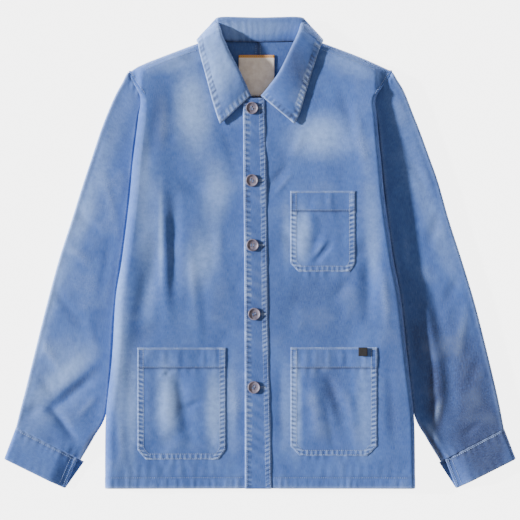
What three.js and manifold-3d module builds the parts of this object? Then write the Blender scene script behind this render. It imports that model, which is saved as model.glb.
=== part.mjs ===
// A washed cotton twill chore jacket, buttoned and laid flat on its back. Sizes in mm.
// +X is the wearer's left, +Y runs from hem to collar, +Z is up from the surface at z = 0.
// The back lies flat, the fronts stand over it as soft open tubes, and the sleeves lie beside.

import * as THREE from "three";
import Module from "manifold-3d";
import { mergeVertices } from "three/addons/utils/BufferGeometryUtils.js";

const wasm = await Module();
wasm.setup();

// Cloth
const CLOTH = 1.5;
const DOUBLED = 2.4;
const PLACKET_CLOTH = 3;
const GAP = 0.3;
const HALF = CLOTH / 2;
const DOUBLED_HALF = DOUBLED / 2;

// Sides, named as the wearer has them
const LEFT = 1;
const RIGHT = -1;

// Body: the fold down each side, and the heights of the fronts' middle layer above the surface
const BODY = [
  { y: -377, left: 248.5, right: -248, side: 22, centre: 16.5 },
  { y: -330, left: 248.3, right: -248.2, side: 25.5, centre: 18.5 },
  { y: -261, left: 246.4, right: -246.6, side: 28, centre: 20.5 },
  { y: -170, left: 236.3, right: -237, side: 29.5, centre: 22 },
  { y: -70, left: 225, right: -230.5, side: 30.5, centre: 23 },
  { y: -12, left: 214, right: -221, side: 30.5, centre: 23 },
  { y: 86, left: 200, right: -209, side: 30, centre: 23 },
  { y: 144, left: 194.3, right: -203.7, side: 29, centre: 22 },
  { y: 218, left: 187.3, right: -194.7, side: 26.5, centre: 18.2 },
  { y: 250, left: 186.3, right: -192, side: 24, centre: 17.3 },
  { y: 285, left: 212.6, right: -211.6, side: 20.5, centre: 15 },
  { y: 345, left: 214, right: -213, side: 15, centre: 12.5 },
];
const SHOULDER_FOLD = { left: 186, right: 191, width: 10, drop: 7.5, startY: 234, endY: 258 };
const BODY_FLAT_HALF = 30;
const BODY_SWELL = 1.6;
const LEFT_FRONT_LAP = 2.6;
const ROLL_ANGLE = THREE.MathUtils.degToRad(165);
const ARMHOLE_ANGLE = THREE.MathUtils.degToRad(50);
const ARMHOLE_RADIUS = 6;
const ARMPIT_Y = 222;
const ARMHOLE_Y = 275;
const ROLL_STEPS = 5;
const HEM_DEPTH = 18;
const HEM_EXTRA = 0.8;

// Where the columns of each front run, low at the hip pocket, at the chest and along the top edge
const LEFT_COLUMNS = [
  { low: 15, chest: 11, topX: 9, topY: 246, drop: 0 },
  { low: 30, chest: 30, topX: 26, topY: 268, drop: 0 },
  { low: 49, chest: 48.5, topX: 42, topY: 293, drop: 0 },
  { low: 64, chest: 62, topX: 59, topY: 320, drop: 0.1 },
  { low: 88, chest: 82, topX: 71, topY: 341, drop: 0.6 },
  { low: 112, chest: 103, topX: 98, topY: 336.2, drop: 1 },
  { low: 136, chest: 124, topX: 124, topY: 327, drop: 1 },
  { low: 157, chest: 143, topX: 148, topY: 318, drop: 1 },
  { low: 171, chest: 152, topX: 170, topY: 309, drop: 1 },
  { low: 187, chest: 168, topX: 190, topY: 300, drop: 1 },
];
const RIGHT_COLUMNS = [
  { low: 4, chest: 4, topX: 3, topY: 243, drop: 0 },
  { low: -11, chest: -11, topX: -11, topY: 245, drop: 0 },
  { low: -28, chest: -28, topX: -21, topY: 259, drop: 0 },
  { low: -41, chest: -39, topX: -33, topY: 279, drop: 0 },
  { low: -54.5, chest: -52, topX: -45, topY: 299, drop: 0 },
  { low: -67, chest: -70, topX: -60, topY: 323, drop: 0.1 },
  { low: -92, chest: -90, topX: -72, topY: 341, drop: 0.6 },
  { low: -116, chest: -110, topX: -100, topY: 334.6, drop: 1 },
  { low: -140, chest: -130, topX: -127, topY: 325, drop: 1 },
  { low: -164, chest: -150, topX: -152, topY: 315.5, drop: 1 },
  { low: -182, chest: -168, topX: -178, topY: 305.5, drop: 1 },
  { low: -195.4, chest: -182, topX: -196, topY: 297.5, drop: 1 },
];
const LOW_COLUMNS_END = -140;
const CHEST_COLUMNS_START = -40;
const TOP_START = 105;
const SHOULDER_CORNER = { left: 292, right: 291 };

// Rows up the fronts; pocket edges and seams lie on them
const LEFT_ROWS = [
  -377, -359, -342, -325, -309, -284, -258, -232, -208, -184.5, -165, -151.5, -122, -92, -62,
  -31, -17, 8, 37, 66, 98, TOP_START,
];
const RIGHT_ROWS = [
  -377, -359, -345, -331, -315, -288, -260, -234, -209, -184.5, -152, -122, -92, -62, -31, 0,
  30, 60, 85, TOP_START,
];
const TOP_ROWS = [0.15, 0.3, 0.45, 0.6, 0.74, 0.85, 0.93, 0.98, 1];

// Folds of the cloth as it lies: a line, its half width and how far it stands up or sinks
const FRONT_FOLDS = [
  { x0: -158, y0: 105, x1: -147, y1: -105, width: 11, rise: 2.5 },
  { x0: -136, y0: 87, x1: -139, y1: -70, width: 10, rise: -3 },
  { x0: -160, y0: 20, x1: -202, y1: -138, width: 15, rise: -3 },
  { x0: -205, y0: 148, x1: -208, y1: -140, width: 16, rise: 1.5 },
  { x0: -134, y0: 116, x1: -77, y1: 86, width: 13, rise: -2 },
  { x0: 173, y0: -4, x1: 173, y1: -100, width: 11, rise: -3 },
  { x0: 142, y0: -44, x1: 120, y1: -73, width: 10, rise: -2 },
  { x0: 93, y0: 36, x1: 84, y1: -4, width: 9, rise: -1.5 },
  { x0: -131, y0: -196, x1: -112, y1: -300, width: 11, rise: -2.5 },
  { x0: -150, y0: -204, x1: -150, y1: -284, width: 10, rise: 1.5 },
  { x0: 99, y0: -188, x1: 136, y1: -260, width: 11, rise: -2 },
];
const SLEEVE_FOLDS = [
  { x0: -333, y0: -250, x1: -264, y1: -196, width: 11, rise: -3.2 },
  { x0: -333, y0: -250, x1: -300, y1: -296, width: 10, rise: -2.6 },
  { x0: -376, y0: -260, x1: -349, y1: -244, width: 9, rise: -2 },
  { x0: 262, y0: -73, x1: 283, y1: -172, width: 9, rise: 3.5 },
  { x0: 283, y0: -172, x1: 289, y1: -236, width: 9, rise: 3.5 },
  { x0: 270, y0: -49, x1: 302, y1: -172, width: 10, rise: -2.5 },
  { x0: 302, y0: -172, x1: 306, y1: -252, width: 10, rise: -2.5 },
];

// Sleeves: outer and inner fold, from the armhole to the cuff seam
const RIGHT_SLEEVE = [
  { outX: -213.4, outY: 284.2, inX: -193.4, inY: 249.4, top: 13.5, hung: 0 },
  { outX: -230.4, outY: 255.4, inX: -195, inY: 222, top: 13, hung: 1 },
  { outX: -244.5, outY: 224, inX: -197, inY: 196, top: 12.5, hung: 1 },
  { outX: -256.8, outY: 191.7, inX: -201, inY: 166, top: 12, hung: 1 },
  { outX: -270, outY: 152, inX: -205, inY: 126, top: 11.5, hung: 1 },
  { outX: -283.4, outY: 112, inX: -209, inY: 86, top: 11.5, hung: 1 },
  { outX: -303, outY: 50, inX: -216, inY: 25, top: 11.5, hung: 1 },
  { outX: -323, outY: -12, inX: -226, inY: -42, top: 11.5, hung: 1 },
  { outX: -340.5, outY: -76, inX: -233, inY: -108, top: 11.5, hung: 1 },
  { outX: -358, outY: -145, inX: -238, inY: -182, top: 11.5, hung: 1 },
  { outX: -375.2, outY: -214.7, inX: -246, inY: -258, top: 12, hung: 1 },
  { outX: -384, outY: -249, inX: -266, inY: -297, top: 12.5, hung: 1 },
  { outX: -391.4, outY: -279.6, inX: -287, inY: -332.6, top: 13, hung: 1 },
];
const LEFT_SLEEVE = [
  { outX: 214.6, outY: 284, inX: 188.3, inY: 249, top: 13.5, hung: 0 },
  { outX: 230, outY: 261, inX: 187, inY: 222, top: 13, hung: 1 },
  { outX: 245, outY: 224, inX: 189, inY: 196, top: 12.5, hung: 1 },
  { outX: 257.8, outY: 191.7, inX: 192, inY: 166, top: 12, hung: 1 },
  { outX: 273, outY: 150, inX: 196, inY: 124, top: 11.5, hung: 1 },
  { outX: 286.4, outY: 112, inX: 200, inY: 86, top: 11.5, hung: 1 },
  { outX: 304, outY: 50, inX: 207, inY: 25, top: 11.5, hung: 1 },
  { outX: 324, outY: -12, inX: 219, inY: -42, top: 11.5, hung: 1 },
  { outX: 344, outY: -78, inX: 229, inY: -108, top: 11.5, hung: 1 },
  { outX: 361.5, outY: -146, inX: 237, inY: -182, top: 11.5, hung: 1 },
  { outX: 378.5, outY: -217, inX: 246, inY: -258, top: 12, hung: 1 },
  { outX: 385.5, outY: -250, inX: 267, inY: -299, top: 12.5, hung: 1 },
  { outX: 391.4, outY: -281.9, inX: 289, inY: -335.3, top: 13, hung: 1 },
];
const SLEEVE_EDGE_STEPS = [0, 1.2, 3.4, 7, 14];
const SLEEVE_UPPER = { middleSteps: 6, rowSteps: 2 };
const SLEEVE_UNDER = { middleSteps: 2, rowSteps: 1 };
const SLEEVE_FOLD_GAP = 0.9;

// Cuffs: the seam to the sleeve and the open end, each from the outer fold to the lapped end
const RIGHT_CUFF = {
  seamOut: [-391.5, -280.2],
  seamIn: [-293, -330.3],
  mouthOut: [-410, -330],
  mouthIn: [-314, -377.2],
};
const LEFT_CUFF = {
  seamOut: [391.6, -282.4],
  seamIn: [297.5, -331.5],
  mouthOut: [410, -330],
  mouthIn: [316, -377.2],
};
const CUFF_TOP = 13.2;
const CUFF_UNDERLAP = { seam: 0.1, mouth: 0.01 };
const CUFF_UPPER = [0, 0.1, 0.22, 0.36, 0.55, 0.75, 0.9];
const CUFF_UNDER = [0.85, 0.6, 0.35, 0.1];
const CUFF_FOLD_STEPS = 6;
const CUFF_LAP_END = 0.3;

// Placket down the left front, and its buttons
const PLACKET = [
  { y: -377, free: -23, seam: 18.6 },
  { y: -236, free: -23.2, seam: 15.6 },
  { y: -106, free: -23.6, seam: 12.6 },
  { y: 7, free: -24.2, seam: 11.4 },
  { y: 129, free: -25.4, seam: 9.8 },
  { y: 246, free: -26.2, seam: 7 },
];
const PLACKET_FOLDED_LEFT = [0, 0.33, 0.67, 1];
const BUTTONS = [
  { x: -12.8, y: 230.7 },
  { x: -12.8, y: 114.9 },
  { x: -11.8, y: 11.7 },
  { x: -9, y: -98.2 },
  { x: -9.6, y: -215.2 },
];
const BUTTON_RADIUS = 10;
const BUTTON_THICK = 3;
const BUTTON_RIM = 1.9;
const BUTTON_DISH = 0.8;
const BUTTON_HOLE = 1.1;
const BUTTON_HOLE_OFFSET = 1.9;
const BUTTON_SIDES = 18;
const BUTTON_HOLE_SIDES = 6;

// Patch pockets: the cells of the front that each covers, counted in the rows and columns above
const CHEST_POCKET = { rows: [15, 20], columns: [2, 8], band: 19, puff: 0.8 };
const LEFT_POCKET = { rows: [3, 11], columns: [2, 9], band: 9, puff: 1.2 };
const RIGHT_POCKET = { rows: [3, 10], columns: [4, 11], band: 9, puff: 1.2 };
const POCKET_LIFT = 0.5;
const POCKET_BAND_EXTRA = 0.8;
const TAB = { rows: [10, 11], columns: [7, 8], thick: 0.8, rise: 0.4 };

// Back: two panels, lifted at the neck over the collar's fall
const BACK_SEAM_X = -3;
const BACK_COLUMNS = [
  { topX: 36, topY: 337.6 },
  { topX: 58, topY: 338.4 },
  { topX: 71, topY: 340.6 },
  { topX: 102, topY: 333 },
  { topX: 135, topY: 320.6 },
  { topX: 175, topY: 304.8 },
];
const BACK_CORNER = { x: 209, y: 285 };
const BACK_NECK_Y = 337.4;
const BACK_ROWS = [-373, -280, -190, -100, -12, 86, 150, ARMPIT_Y];
const BACK_TOP_ROWS = [0.12, 0.23, 0.43, 0.64, 0.7, 0.76, 0.83, 0.92, 1];
const BACK_SIDE_INSET = 15;
const NECK_LIFT = DOUBLED + 3 * GAP;
const NECK_LIFT_START = 297;
const NECK_LIFT_END = 316;
const NECK_LIFT_NARROW = 104;
const NECK_LIFT_WIDE = 134;

// Collar: neck seam, roll and outer edge of each half, from the front end to the centre back.
// turn is 90 where the leaf lies over the stand and -90 where it lies under the back.
const LEFT_COLLAR = [
  { neckX: 5, neckY: 247, rollX: 2.6, rollY: 250.5, edgeX: 55.4, edgeY: 206, roll: 6.5, turn: 90 },
  { neckX: 21, neckY: 262, rollX: 14.4, rollY: 264.6, edgeX: 62.6, edgeY: 222, roll: 7, turn: 90 },
  { neckX: 38, neckY: 286, rollX: 31.2, rollY: 287.7, edgeX: 71, edgeY: 250, roll: 7, turn: 90 },
  { neckX: 53, neckY: 309, rollX: 45, rollY: 315.2, edgeX: 79.6, edgeY: 279, roll: 8, turn: 90 },
  { neckX: 63, neckY: 326, rollX: 52.5, rollY: 331, edgeX: 87, edgeY: 303, roll: 8, turn: 80 },
  { neckX: 66, neckY: 336, rollX: 59.5, rollY: 346, edgeX: 94, edgeY: 324, roll: 8.5, turn: 66 },
  { neckX: 65, neckY: 338.4, rollX: 63, rollY: 355, edgeX: 98.6, edgeY: 334, roll: 7, turn: 45 },
  { neckX: 63, neckY: 339.4, rollX: 66.6, rollY: 366, edgeX: 101, edgeY: 341, roll: 12, turn: 10 },
  { neckX: 58, neckY: 339.2, rollX: 69, rollY: 374.5, edgeX: 99, edgeY: 337, roll: 12, turn: -40 },
  { neckX: 48, neckY: 339, rollX: 56, rollY: 376.5, edgeX: 78, edgeY: 324, roll: 12, turn: -85 },
  { neckX: 26, neckY: 338.6, rollX: 30, rollY: 376, edgeX: 40, edgeY: 321, roll: 12, turn: -90 },
  { neckX: 0, neckY: 338.4, rollX: 0, rollY: 375.4, edgeX: 0, edgeY: 320, roll: 12, turn: -90 },
];
const RIGHT_COLLAR_FRONT = {
  neckX: [-18, -31, -44, -57, -65, -67],
  neckY: [247, 266, 288, 311, 327, 336.5],
  rollX: [-15.5, -23, -34.5, -48.3, -54.5, -61],
  rollY: [251.5, 268, 292, 318.2, 332, 346.6],
  edgeX: [-63.4, -71, -78.5, -85.5, -91.5, -96.5],
  edgeY: [206, 228, 254, 281, 303, 322],
};
const COLLAR_FOLD = 3;
const COLLAR_BULGE = 1.6;
const COLLAR_OVER_TURN = 45;
const COLLAR_LEAF_SHARES = [0.22, 0.6];
const COLLAR_UNDER_POWER = 6;

// Label inside the neck
const LABEL = { x0: -34, x1: 23, y0: 251, y1: 316.5, thick: 0.9, rise: 0.45 };

const BLUE = 0x6b8cbe;

const clamp01 = (value) => Math.min(1, Math.max(0, value));
const mix = (a, b, share) => a + (b - a) * share;
const between = (value, start, end) => {
  const share = clamp01((value - start) / (end - start));
  return share * share * (3 - 2 * share);
};

// Reads a column of a table at a height, as a smooth curve through the rows
function read(table, column, at, key = "y") {
  const rows = table[0][key] < table[table.length - 1][key] ? table : [...table].reverse();
  const last = rows.length - 1;
  const place = Math.min(rows[last][key], Math.max(rows[0][key], at));
  let index = 0;
  while (index < last - 1 && place > rows[index + 1][key]) index += 1;
  const slope = (low, high) =>
    (rows[high][column] - rows[low][column]) / (rows[high][key] - rows[low][key]);
  const step = rows[index + 1][key] - rows[index][key];
  const t = (place - rows[index][key]) / step;
  const startSlope = slope(Math.max(0, index - 1), index + 1);
  const endSlope = slope(index, Math.min(last, index + 2));
  const t2 = t * t;
  const t3 = t2 * t;
  return (
    rows[index][column] * (2 * t3 - 3 * t2 + 1) +
    rows[index + 1][column] * (3 * t2 - 2 * t3) +
    startSlope * step * (t3 - 2 * t2 + t) +
    endSlope * step * (t3 - t2)
  );
}

const sideName = (side) => (side === LEFT ? "left" : "right");
const sideFold = (side, y) => read(BODY, sideName(side), y);

// Height that the folds of the cloth add at a place
function foldRise(folds, x, y) {
  let rise = 0;
  for (const fold of folds) {
    const dx = fold.x1 - fold.x0;
    const dy = fold.y1 - fold.y0;
    const along = clamp01(((x - fold.x0) * dx + (y - fold.y0) * dy) / (dx * dx + dy * dy));
    const away = Math.hypot(x - fold.x0 - dx * along, y - fold.y0 - dy * along);
    rise += fold.rise * (0.4 + 0.6 * Math.sin(Math.PI * along)) * Math.exp(-((away / fold.width) ** 2));
  }
  return rise;
}

// How far a sheet has turned down at a distance from the fold that it turns round
function edgeDrop(distance, radius) {
  if (distance >= radius) return 0;
  return radius - Math.sqrt(radius * radius - (radius - Math.max(0, distance)) ** 2);
}

const centreHeight = (y) => read(BODY, "centre", y);

function frontHeight(side, x, y) {
  const reach = Math.abs(sideFold(side, y));
  const share = clamp01((Math.abs(x) - BODY_FLAT_HALF) / (reach - BODY_FLAT_HALF));
  const lap = side === LEFT ? LEFT_FRONT_LAP * (1 - share) : 0;
  const swell = mix(centreHeight(y), read(BODY, "side", y), share ** BODY_SWELL);
  const foldX = SHOULDER_FOLD[sideName(side)];
  const past = between(Math.abs(x), foldX - SHOULDER_FOLD.width / 3, foldX + SHOULDER_FOLD.width);
  const high = between(y, SHOULDER_FOLD.startY, SHOULDER_FOLD.endY);
  return swell + lap - SHOULDER_FOLD.drop * past * high + foldRise(FRONT_FOLDS, x, y);
}

function backLift(x, y) {
  const along = between(y, NECK_LIFT_START, NECK_LIFT_END);
  const across = 1 - between(Math.abs(x), NECK_LIFT_NARROW, NECK_LIFT_WIDE);
  return NECK_LIFT * along * across;
}

const backHeight = (x, y) => HALF + backLift(x, y);

// Closed solid from two layers of points that share a grid, with a rim round the edge
function solidFromLayers(upper, lower) {
  const rows = upper.length;
  const columns = upper[0].length;
  const positions = [...upper.flat(), ...lower.flat()].flat();
  const below = rows * columns;
  const at = (row, column) => row * columns + column;
  const index = [];
  const quad = (a, b, c, d) => index.push(a, b, c, a, c, d);
  for (let row = 0; row < rows - 1; row += 1) {
    for (let column = 0; column < columns - 1; column += 1) {
      const corners = [at(row, column), at(row, column + 1), at(row + 1, column + 1), at(row + 1, column)];
      quad(...corners);
      quad(...[corners[0], corners[3], corners[2], corners[1]].map((v) => v + below));
    }
  }
  for (let column = 0; column < columns - 1; column += 1) {
    const [a, b] = [at(0, column), at(0, column + 1)];
    quad(b, a, a + below, b + below);
    const [c, d] = [at(rows - 1, column), at(rows - 1, column + 1)];
    quad(c, d, d + below, c + below);
  }
  for (let row = 0; row < rows - 1; row += 1) {
    const [a, b] = [at(row, 0), at(row + 1, 0)];
    quad(a, b, b + below, a + below);
    const [c, d] = [at(row, columns - 1), at(row + 1, columns - 1)];
    quad(d, c, c + below, d + below);
  }
  return outwardGeometry(positions, index);
}

// Turns the faces over where they would point inwards
function outwardGeometry(positions, index) {
  const corner = (i) => new THREE.Vector3().fromArray(positions, index[i] * 3);
  let volume = 0;
  for (let i = 0; i < index.length; i += 3) {
    volume += corner(i).dot(corner(i + 1).cross(corner(i + 2)));
  }
  const faces = volume < 0 ? index.toReversed() : index;
  const geometry = new THREE.BufferGeometry();
  geometry.setAttribute("position", new THREE.Float32BufferAttribute(positions, 3));
  geometry.setIndex(faces);
  geometry.computeVertexNormals();
  return geometry;
}

// Unit normals of a grid, on the side that upwards says
function gridNormals(grid, upwards) {
  const last = grid.length - 1;
  const end = grid[0].length - 1;
  const vector = (row, column) => new THREE.Vector3(...grid[row][column]);
  return grid.map((line, row) =>
    line.map((point, column) => {
      const across = vector(row, Math.min(end, column + 1)).sub(vector(row, Math.max(0, column - 1)));
      const along = vector(Math.min(last, row + 1), column).sub(vector(Math.max(0, row - 1), column));
      return across.cross(along).normalize().multiplyScalar(upwards);
    }),
  );
}

// Both faces of a wall of cloth whose middle layer is the grid
function wallLayers(grid, upwards, thickness) {
  const normals = gridNormals(grid, upwards);
  const layer = (sign) =>
    grid.map((line, row) =>
      line.map((point, column) => {
        const reach = (sign * thickness(row, column)) / 2;
        const normal = normals[row][column];
        return [point[0] + normal.x * reach, point[1] + normal.y * reach, point[2] + normal.z * reach];
      }),
    );
  return { upper: layer(1), lower: layer(-1) };
}

function wall(grid, upwards, thickness) {
  const layers = wallLayers(grid, upwards, () => thickness);
  return solidFromLayers(layers.upper, layers.lower);
}

// Fronts
function frontPoint(side, columns, index, y, share) {
  const column = columns[index];
  const corner = SHOULDER_CORNER[sideName(side)];
  const lowShare = between(y, LOW_COLUMNS_END, CHEST_COLUMNS_START);
  if (share === 0) return [mix(column.low, column.chest, lowShare), y];
  const outerY = mix(TOP_START, corner, share);
  const outer = sideFold(side, outerY) - side * (HALF + rollRadius(side, outerY));
  const outerStart = sideFold(side, TOP_START) - side * (HALF + rollRadius(side, TOP_START));
  const outerEnd = sideFold(side, corner) - side * (HALF + rollRadius(side, corner));
  const inner = mix(columns[0].chest, columns[0].topX, share);
  const startShare = (column.chest - columns[0].chest) / (outerStart - columns[0].chest);
  const endShare = (column.topX - columns[0].topX) / (outerEnd - columns[0].topX);
  return [inner + mix(startShare, endShare, share) * (outer - inner), mix(TOP_START, column.topY, share)];
}

function rollRadius(side, y) {
  const height = read(BODY, "side", y);
  const seamHeight = CLOTH + GAP + HALF;
  return mix((height - seamHeight) / 2, ARMHOLE_RADIUS, between(y, ARMPIT_Y, ARMHOLE_Y));
}

function frontGrid(side, columns, rows) {
  const placketSeam = (y) => read(PLACKET, "seam", y) + GAP;
  const corner = SHOULDER_CORNER[sideName(side)];
  const lines = [
    ...rows.map((y) => ({ y, share: 0 })),
    ...TOP_ROWS.map((share) => ({ y: TOP_START, share })),
  ];
  return lines.map(({ y, share }) => {
    const line = columns.map((column, index) => {
      const place = frontPoint(side, columns, index, y, share);
      if (side === LEFT && index === 0) place[0] = placketSeam(place[1]);
      const height = frontHeight(side, place[0], place[1]);
      const seam = backHeight(place[0], place[1]) + CLOTH + GAP;
      const toShoulder = (1 - share) * (column.topY - TOP_START);
      const drop = edgeDrop(toShoulder, height - seam) * column.drop;
      return [...place, height - drop];
    });
    const edgeY = share === 0 ? y : mix(TOP_START, corner, share);
    const radius = rollRadius(side, edgeY);
    const middleX = sideFold(side, edgeY) - side * (HALF + radius);
    const seam = backHeight(middleX, edgeY) + CLOTH + GAP;
    const full = frontHeight(side, middleX, edgeY);
    const top = full - edgeDrop((1 - share) * (corner - TOP_START), full - seam);
    const turn = mix(ROLL_ANGLE, ARMHOLE_ANGLE, between(edgeY, ARMPIT_Y, ARMHOLE_Y));
    for (let step = 0; step <= ROLL_STEPS; step += 1) {
      const angle = (turn * step) / ROLL_STEPS;
      const height = top - radius * (1 - Math.cos(angle));
      line.push([middleX + side * radius * Math.sin(angle), edgeY, Math.max(seam, height)]);
    }
    return line;
  });
}

function frontLayers(side, columns, rows) {
  const grid = frontGrid(side, columns, rows);
  const hemTop = rows[0] + HEM_DEPTH;
  const inHem = (row, column) => rows[row] < hemTop && Math.abs(grid[row][column][0]) > BODY_FLAT_HALF;
  const thickness = (row, column) => CLOTH + (inHem(row, column) ? HEM_EXTRA : 0);
  return wallLayers(grid, side, thickness);
}

// A patch of doubled cloth on the outer face of a front, with its lower corners cut off
function pocketGeometry(panel, pocket, lift, thick) {
  const [firstRow, lastRow] = pocket.rows;
  const [firstColumn, lastColumn] = pocket.columns;
  const width = lastColumn - firstColumn + 1;
  const height = lastRow - firstRow + 1;
  const puff = (row, column) =>
    (pocket.puff ?? 0) *
    Math.sin((Math.PI * row) / (height - 1)) *
    Math.sin((Math.PI * column) / (width - 1));
  const positions = [];
  const raise = (extra) => {
    for (let row = 0; row < height; row += 1) {
      for (let column = 0; column < width; column += 1) {
        const [x, y, z] = panel[firstRow + row][firstColumn + column];
        const inBand = pocket.band && extra > 0 && firstRow + row >= pocket.band;
        positions.push(x, y, z + lift + puff(row, column) + extra + (inBand ? POCKET_BAND_EXTRA : 0));
      }
    }
  };
  raise(thick);
  raise(0);
  const below = width * height;
  const at = (row, column) => row * width + column;
  const cut = pocket.band !== undefined;
  const outline = [];
  const faces = [];
  for (let row = 0; row < height - 1; row += 1) {
    for (let column = 0; column < width - 1; column += 1) {
      const a = at(row, column);
      const b = at(row, column + 1);
      const c = at(row + 1, column + 1);
      const d = at(row + 1, column);
      if (cut && row === 0 && column === 0) faces.push([b, c, d]);
      else if (cut && row === 0 && column === width - 2) faces.push([a, c, d]);
      else faces.push([a, b, c], [a, c, d]);
    }
  }
  const edges = new Map();
  for (const [a, b, c] of faces) {
    for (const [from, to] of [[a, b], [b, c], [c, a]]) {
      if (edges.has(`${to} ${from}`)) edges.delete(`${to} ${from}`);
      else edges.set(`${from} ${to}`, [from, to]);
    }
  }
  for (const [from, to] of edges.values()) outline.push([from, from + below, to + below], [from, to + below, to]);
  const index = [
    ...faces.flat(),
    ...faces.flatMap(([a, b, c]) => [a + below, c + below, b + below]),
    ...outline.flat(),
  ];
  return outwardGeometry(positions, index);
}

// Placket: three layers folded in a strip, on the lapped edge of the right front
function placketGeometry() {
  const heights = [...LEFT_ROWS, ...TOP_ROWS.map((share) => mix(TOP_START, PLACKET.at(-1).y, share))];
  const middle = HALF + GAP + PLACKET_CLOTH / 2;
  const grid = heights.map((y) =>
    PLACKET_FOLDED_LEFT.map((share) => {
      const x = mix(read(PLACKET, "free", y), read(PLACKET, "seam", y), share);
      return [x, y, centreHeight(y) + middle];
    }),
  );
  return wall(grid, 1, PLACKET_CLOTH);
}

// Button with a raised rim, a dished face and four holes
function solidOf(geometry) {
  const bare = geometry.clone();
  bare.deleteAttribute("normal");
  bare.deleteAttribute("uv");
  const merged = mergeVertices(bare, 1e-4);
  return new wasm.Manifold(
    new wasm.Mesh({
      numProp: 3,
      vertProperties: new Float32Array(merged.attributes.position.array),
      triVerts: new Uint32Array(merged.index.array),
    }),
  );
}

function geometryOf(solid) {
  const mesh = solid.getMesh();
  return outwardGeometry(Array.from(mesh.vertProperties), Array.from(mesh.triVerts));
}

function buttonGeometry() {
  const profile = [
    [0, 0],
    [BUTTON_RADIUS - 1, 0],
    [BUTTON_RADIUS, BUTTON_THICK / 2],
    [BUTTON_RADIUS - BUTTON_RIM / 2, BUTTON_THICK],
    [BUTTON_RADIUS - BUTTON_RIM, BUTTON_THICK - BUTTON_DISH / 4],
    [BUTTON_RADIUS - 2 * BUTTON_RIM, BUTTON_THICK - BUTTON_DISH],
    [0, BUTTON_THICK - BUTTON_DISH],
  ].map(([radius, height]) => new THREE.Vector2(radius, height));
  const disc = new THREE.LatheGeometry(profile, BUTTON_SIDES).rotateX(Math.PI / 2);
  let solid = solidOf(outwardGeometry(Array.from(disc.attributes.position.array), Array.from(disc.index.array)));
  for (const [alongX, alongY] of [[1, 1], [1, -1], [-1, 1], [-1, -1]]) {
    const hole = new THREE.CylinderGeometry(BUTTON_HOLE, BUTTON_HOLE, 3 * BUTTON_THICK, BUTTON_HOLE_SIDES);
    hole.rotateX(Math.PI / 2).translate(alongX * BUTTON_HOLE_OFFSET, alongY * BUTTON_HOLE_OFFSET, 0);
    solid = solid.subtract(solidOf(hole));
  }
  return geometryOf(solid);
}

// Sleeves: flattened tubes of an upper and an under side that meet at the two folds
function sleeveRows(table, rowSteps) {
  const count = (table.length - 1) * rowSteps;
  const numbered = table.map((row, index) => ({ ...row, index }));
  return Array.from({ length: count + 1 }, (_, step) => {
    const at = step / rowSteps;
    const value = (column) => read(numbered, column, at, "index");
    return {
      outer: [value("outX"), value("outY")],
      inner: [value("inX"), value("inY")],
      top: value("top"),
      hung: clamp01(value("hung")),
    };
  });
}

function sleeveGrid(table, face) {
  const upper = face === SLEEVE_UPPER;
  return sleeveRows(table, face.rowSteps).map(({ outer, inner, top, hung }) => {
    const width = Math.hypot(outer[0] - inner[0], outer[1] - inner[1]);
    const margin = Math.min(1, width / (4 * SLEEVE_EDGE_STEPS.at(-1)));
    const edges = SLEEVE_EDGE_STEPS.map((step) => HALF + step * margin);
    const first = edges.at(-1);
    const last = width - first;
    const middle = Array.from({ length: face.middleSteps - 1 }, (_, step) =>
      mix(first, last, (step + 1) / face.middleSteps),
    );
    const places = [...edges, ...middle, ...edges.map((edge) => width - edge).reverse()];
    const foldHeight = top / 2;
    return places.map((place) => {
      const x = mix(inner[0], outer[0], place / width);
      const y = mix(inner[1], outer[1], place / width);
      const radius = upper ? top - foldHeight : foldHeight - SLEEVE_FOLD_GAP - HALF;
      const innerDrop = edgeDrop(place - HALF, radius) * hung;
      const outerDrop = edgeDrop(width - place - HALF, radius);
      if (!upper) return [x, y, HALF + Math.max(innerDrop, outerDrop)];
      return [x, y, top - Math.max(innerDrop, outerDrop) + foldRise(SLEEVE_FOLDS, x, y)];
    });
  });
}

// Cuffs: a band of doubled cloth round the sleeve end, its upper end lapped on the under one
function cuffGeometry(cuff, side) {
  const rows = [0, 0.5, 1];
  const grid = rows.map((down) => {
    const outer = cuff.seamOut.map((value, axis) => mix(value, cuff.mouthOut[axis], down));
    const inner = cuff.seamIn.map((value, axis) => mix(value, cuff.mouthIn[axis], down));
    const width = Math.hypot(outer[0] - inner[0], outer[1] - inner[1]);
    const radius = (CUFF_TOP - 2 * DOUBLED_HALF) / 2;
    const foldShare = 1 - (DOUBLED_HALF + radius) / width;
    const place = (share) => inner.map((value, axis) => mix(value, outer[axis], share));
    const lapHeight = DOUBLED + GAP + DOUBLED_HALF;
    const top = CUFF_TOP - DOUBLED_HALF;
    const line = CUFF_UPPER.map((share) => [
      ...place(share * foldShare),
      mix(lapHeight, top, between(share, 0, CUFF_LAP_END)),
    ]);
    for (let step = 0; step <= CUFF_FOLD_STEPS; step += 1) {
      const angle = (Math.PI * step) / CUFF_FOLD_STEPS;
      const share = foldShare + (radius * Math.sin(angle)) / width;
      line.push([...place(share), DOUBLED_HALF + radius + radius * Math.cos(angle)]);
    }
    for (const share of CUFF_UNDER) line.push([...place(share * foldShare), DOUBLED_HALF]);
    line.push([...place(-mix(CUFF_UNDERLAP.seam, CUFF_UNDERLAP.mouth, down)), DOUBLED_HALF]);
    return line;
  });
  return wall(grid, -side, DOUBLED);
}

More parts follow.
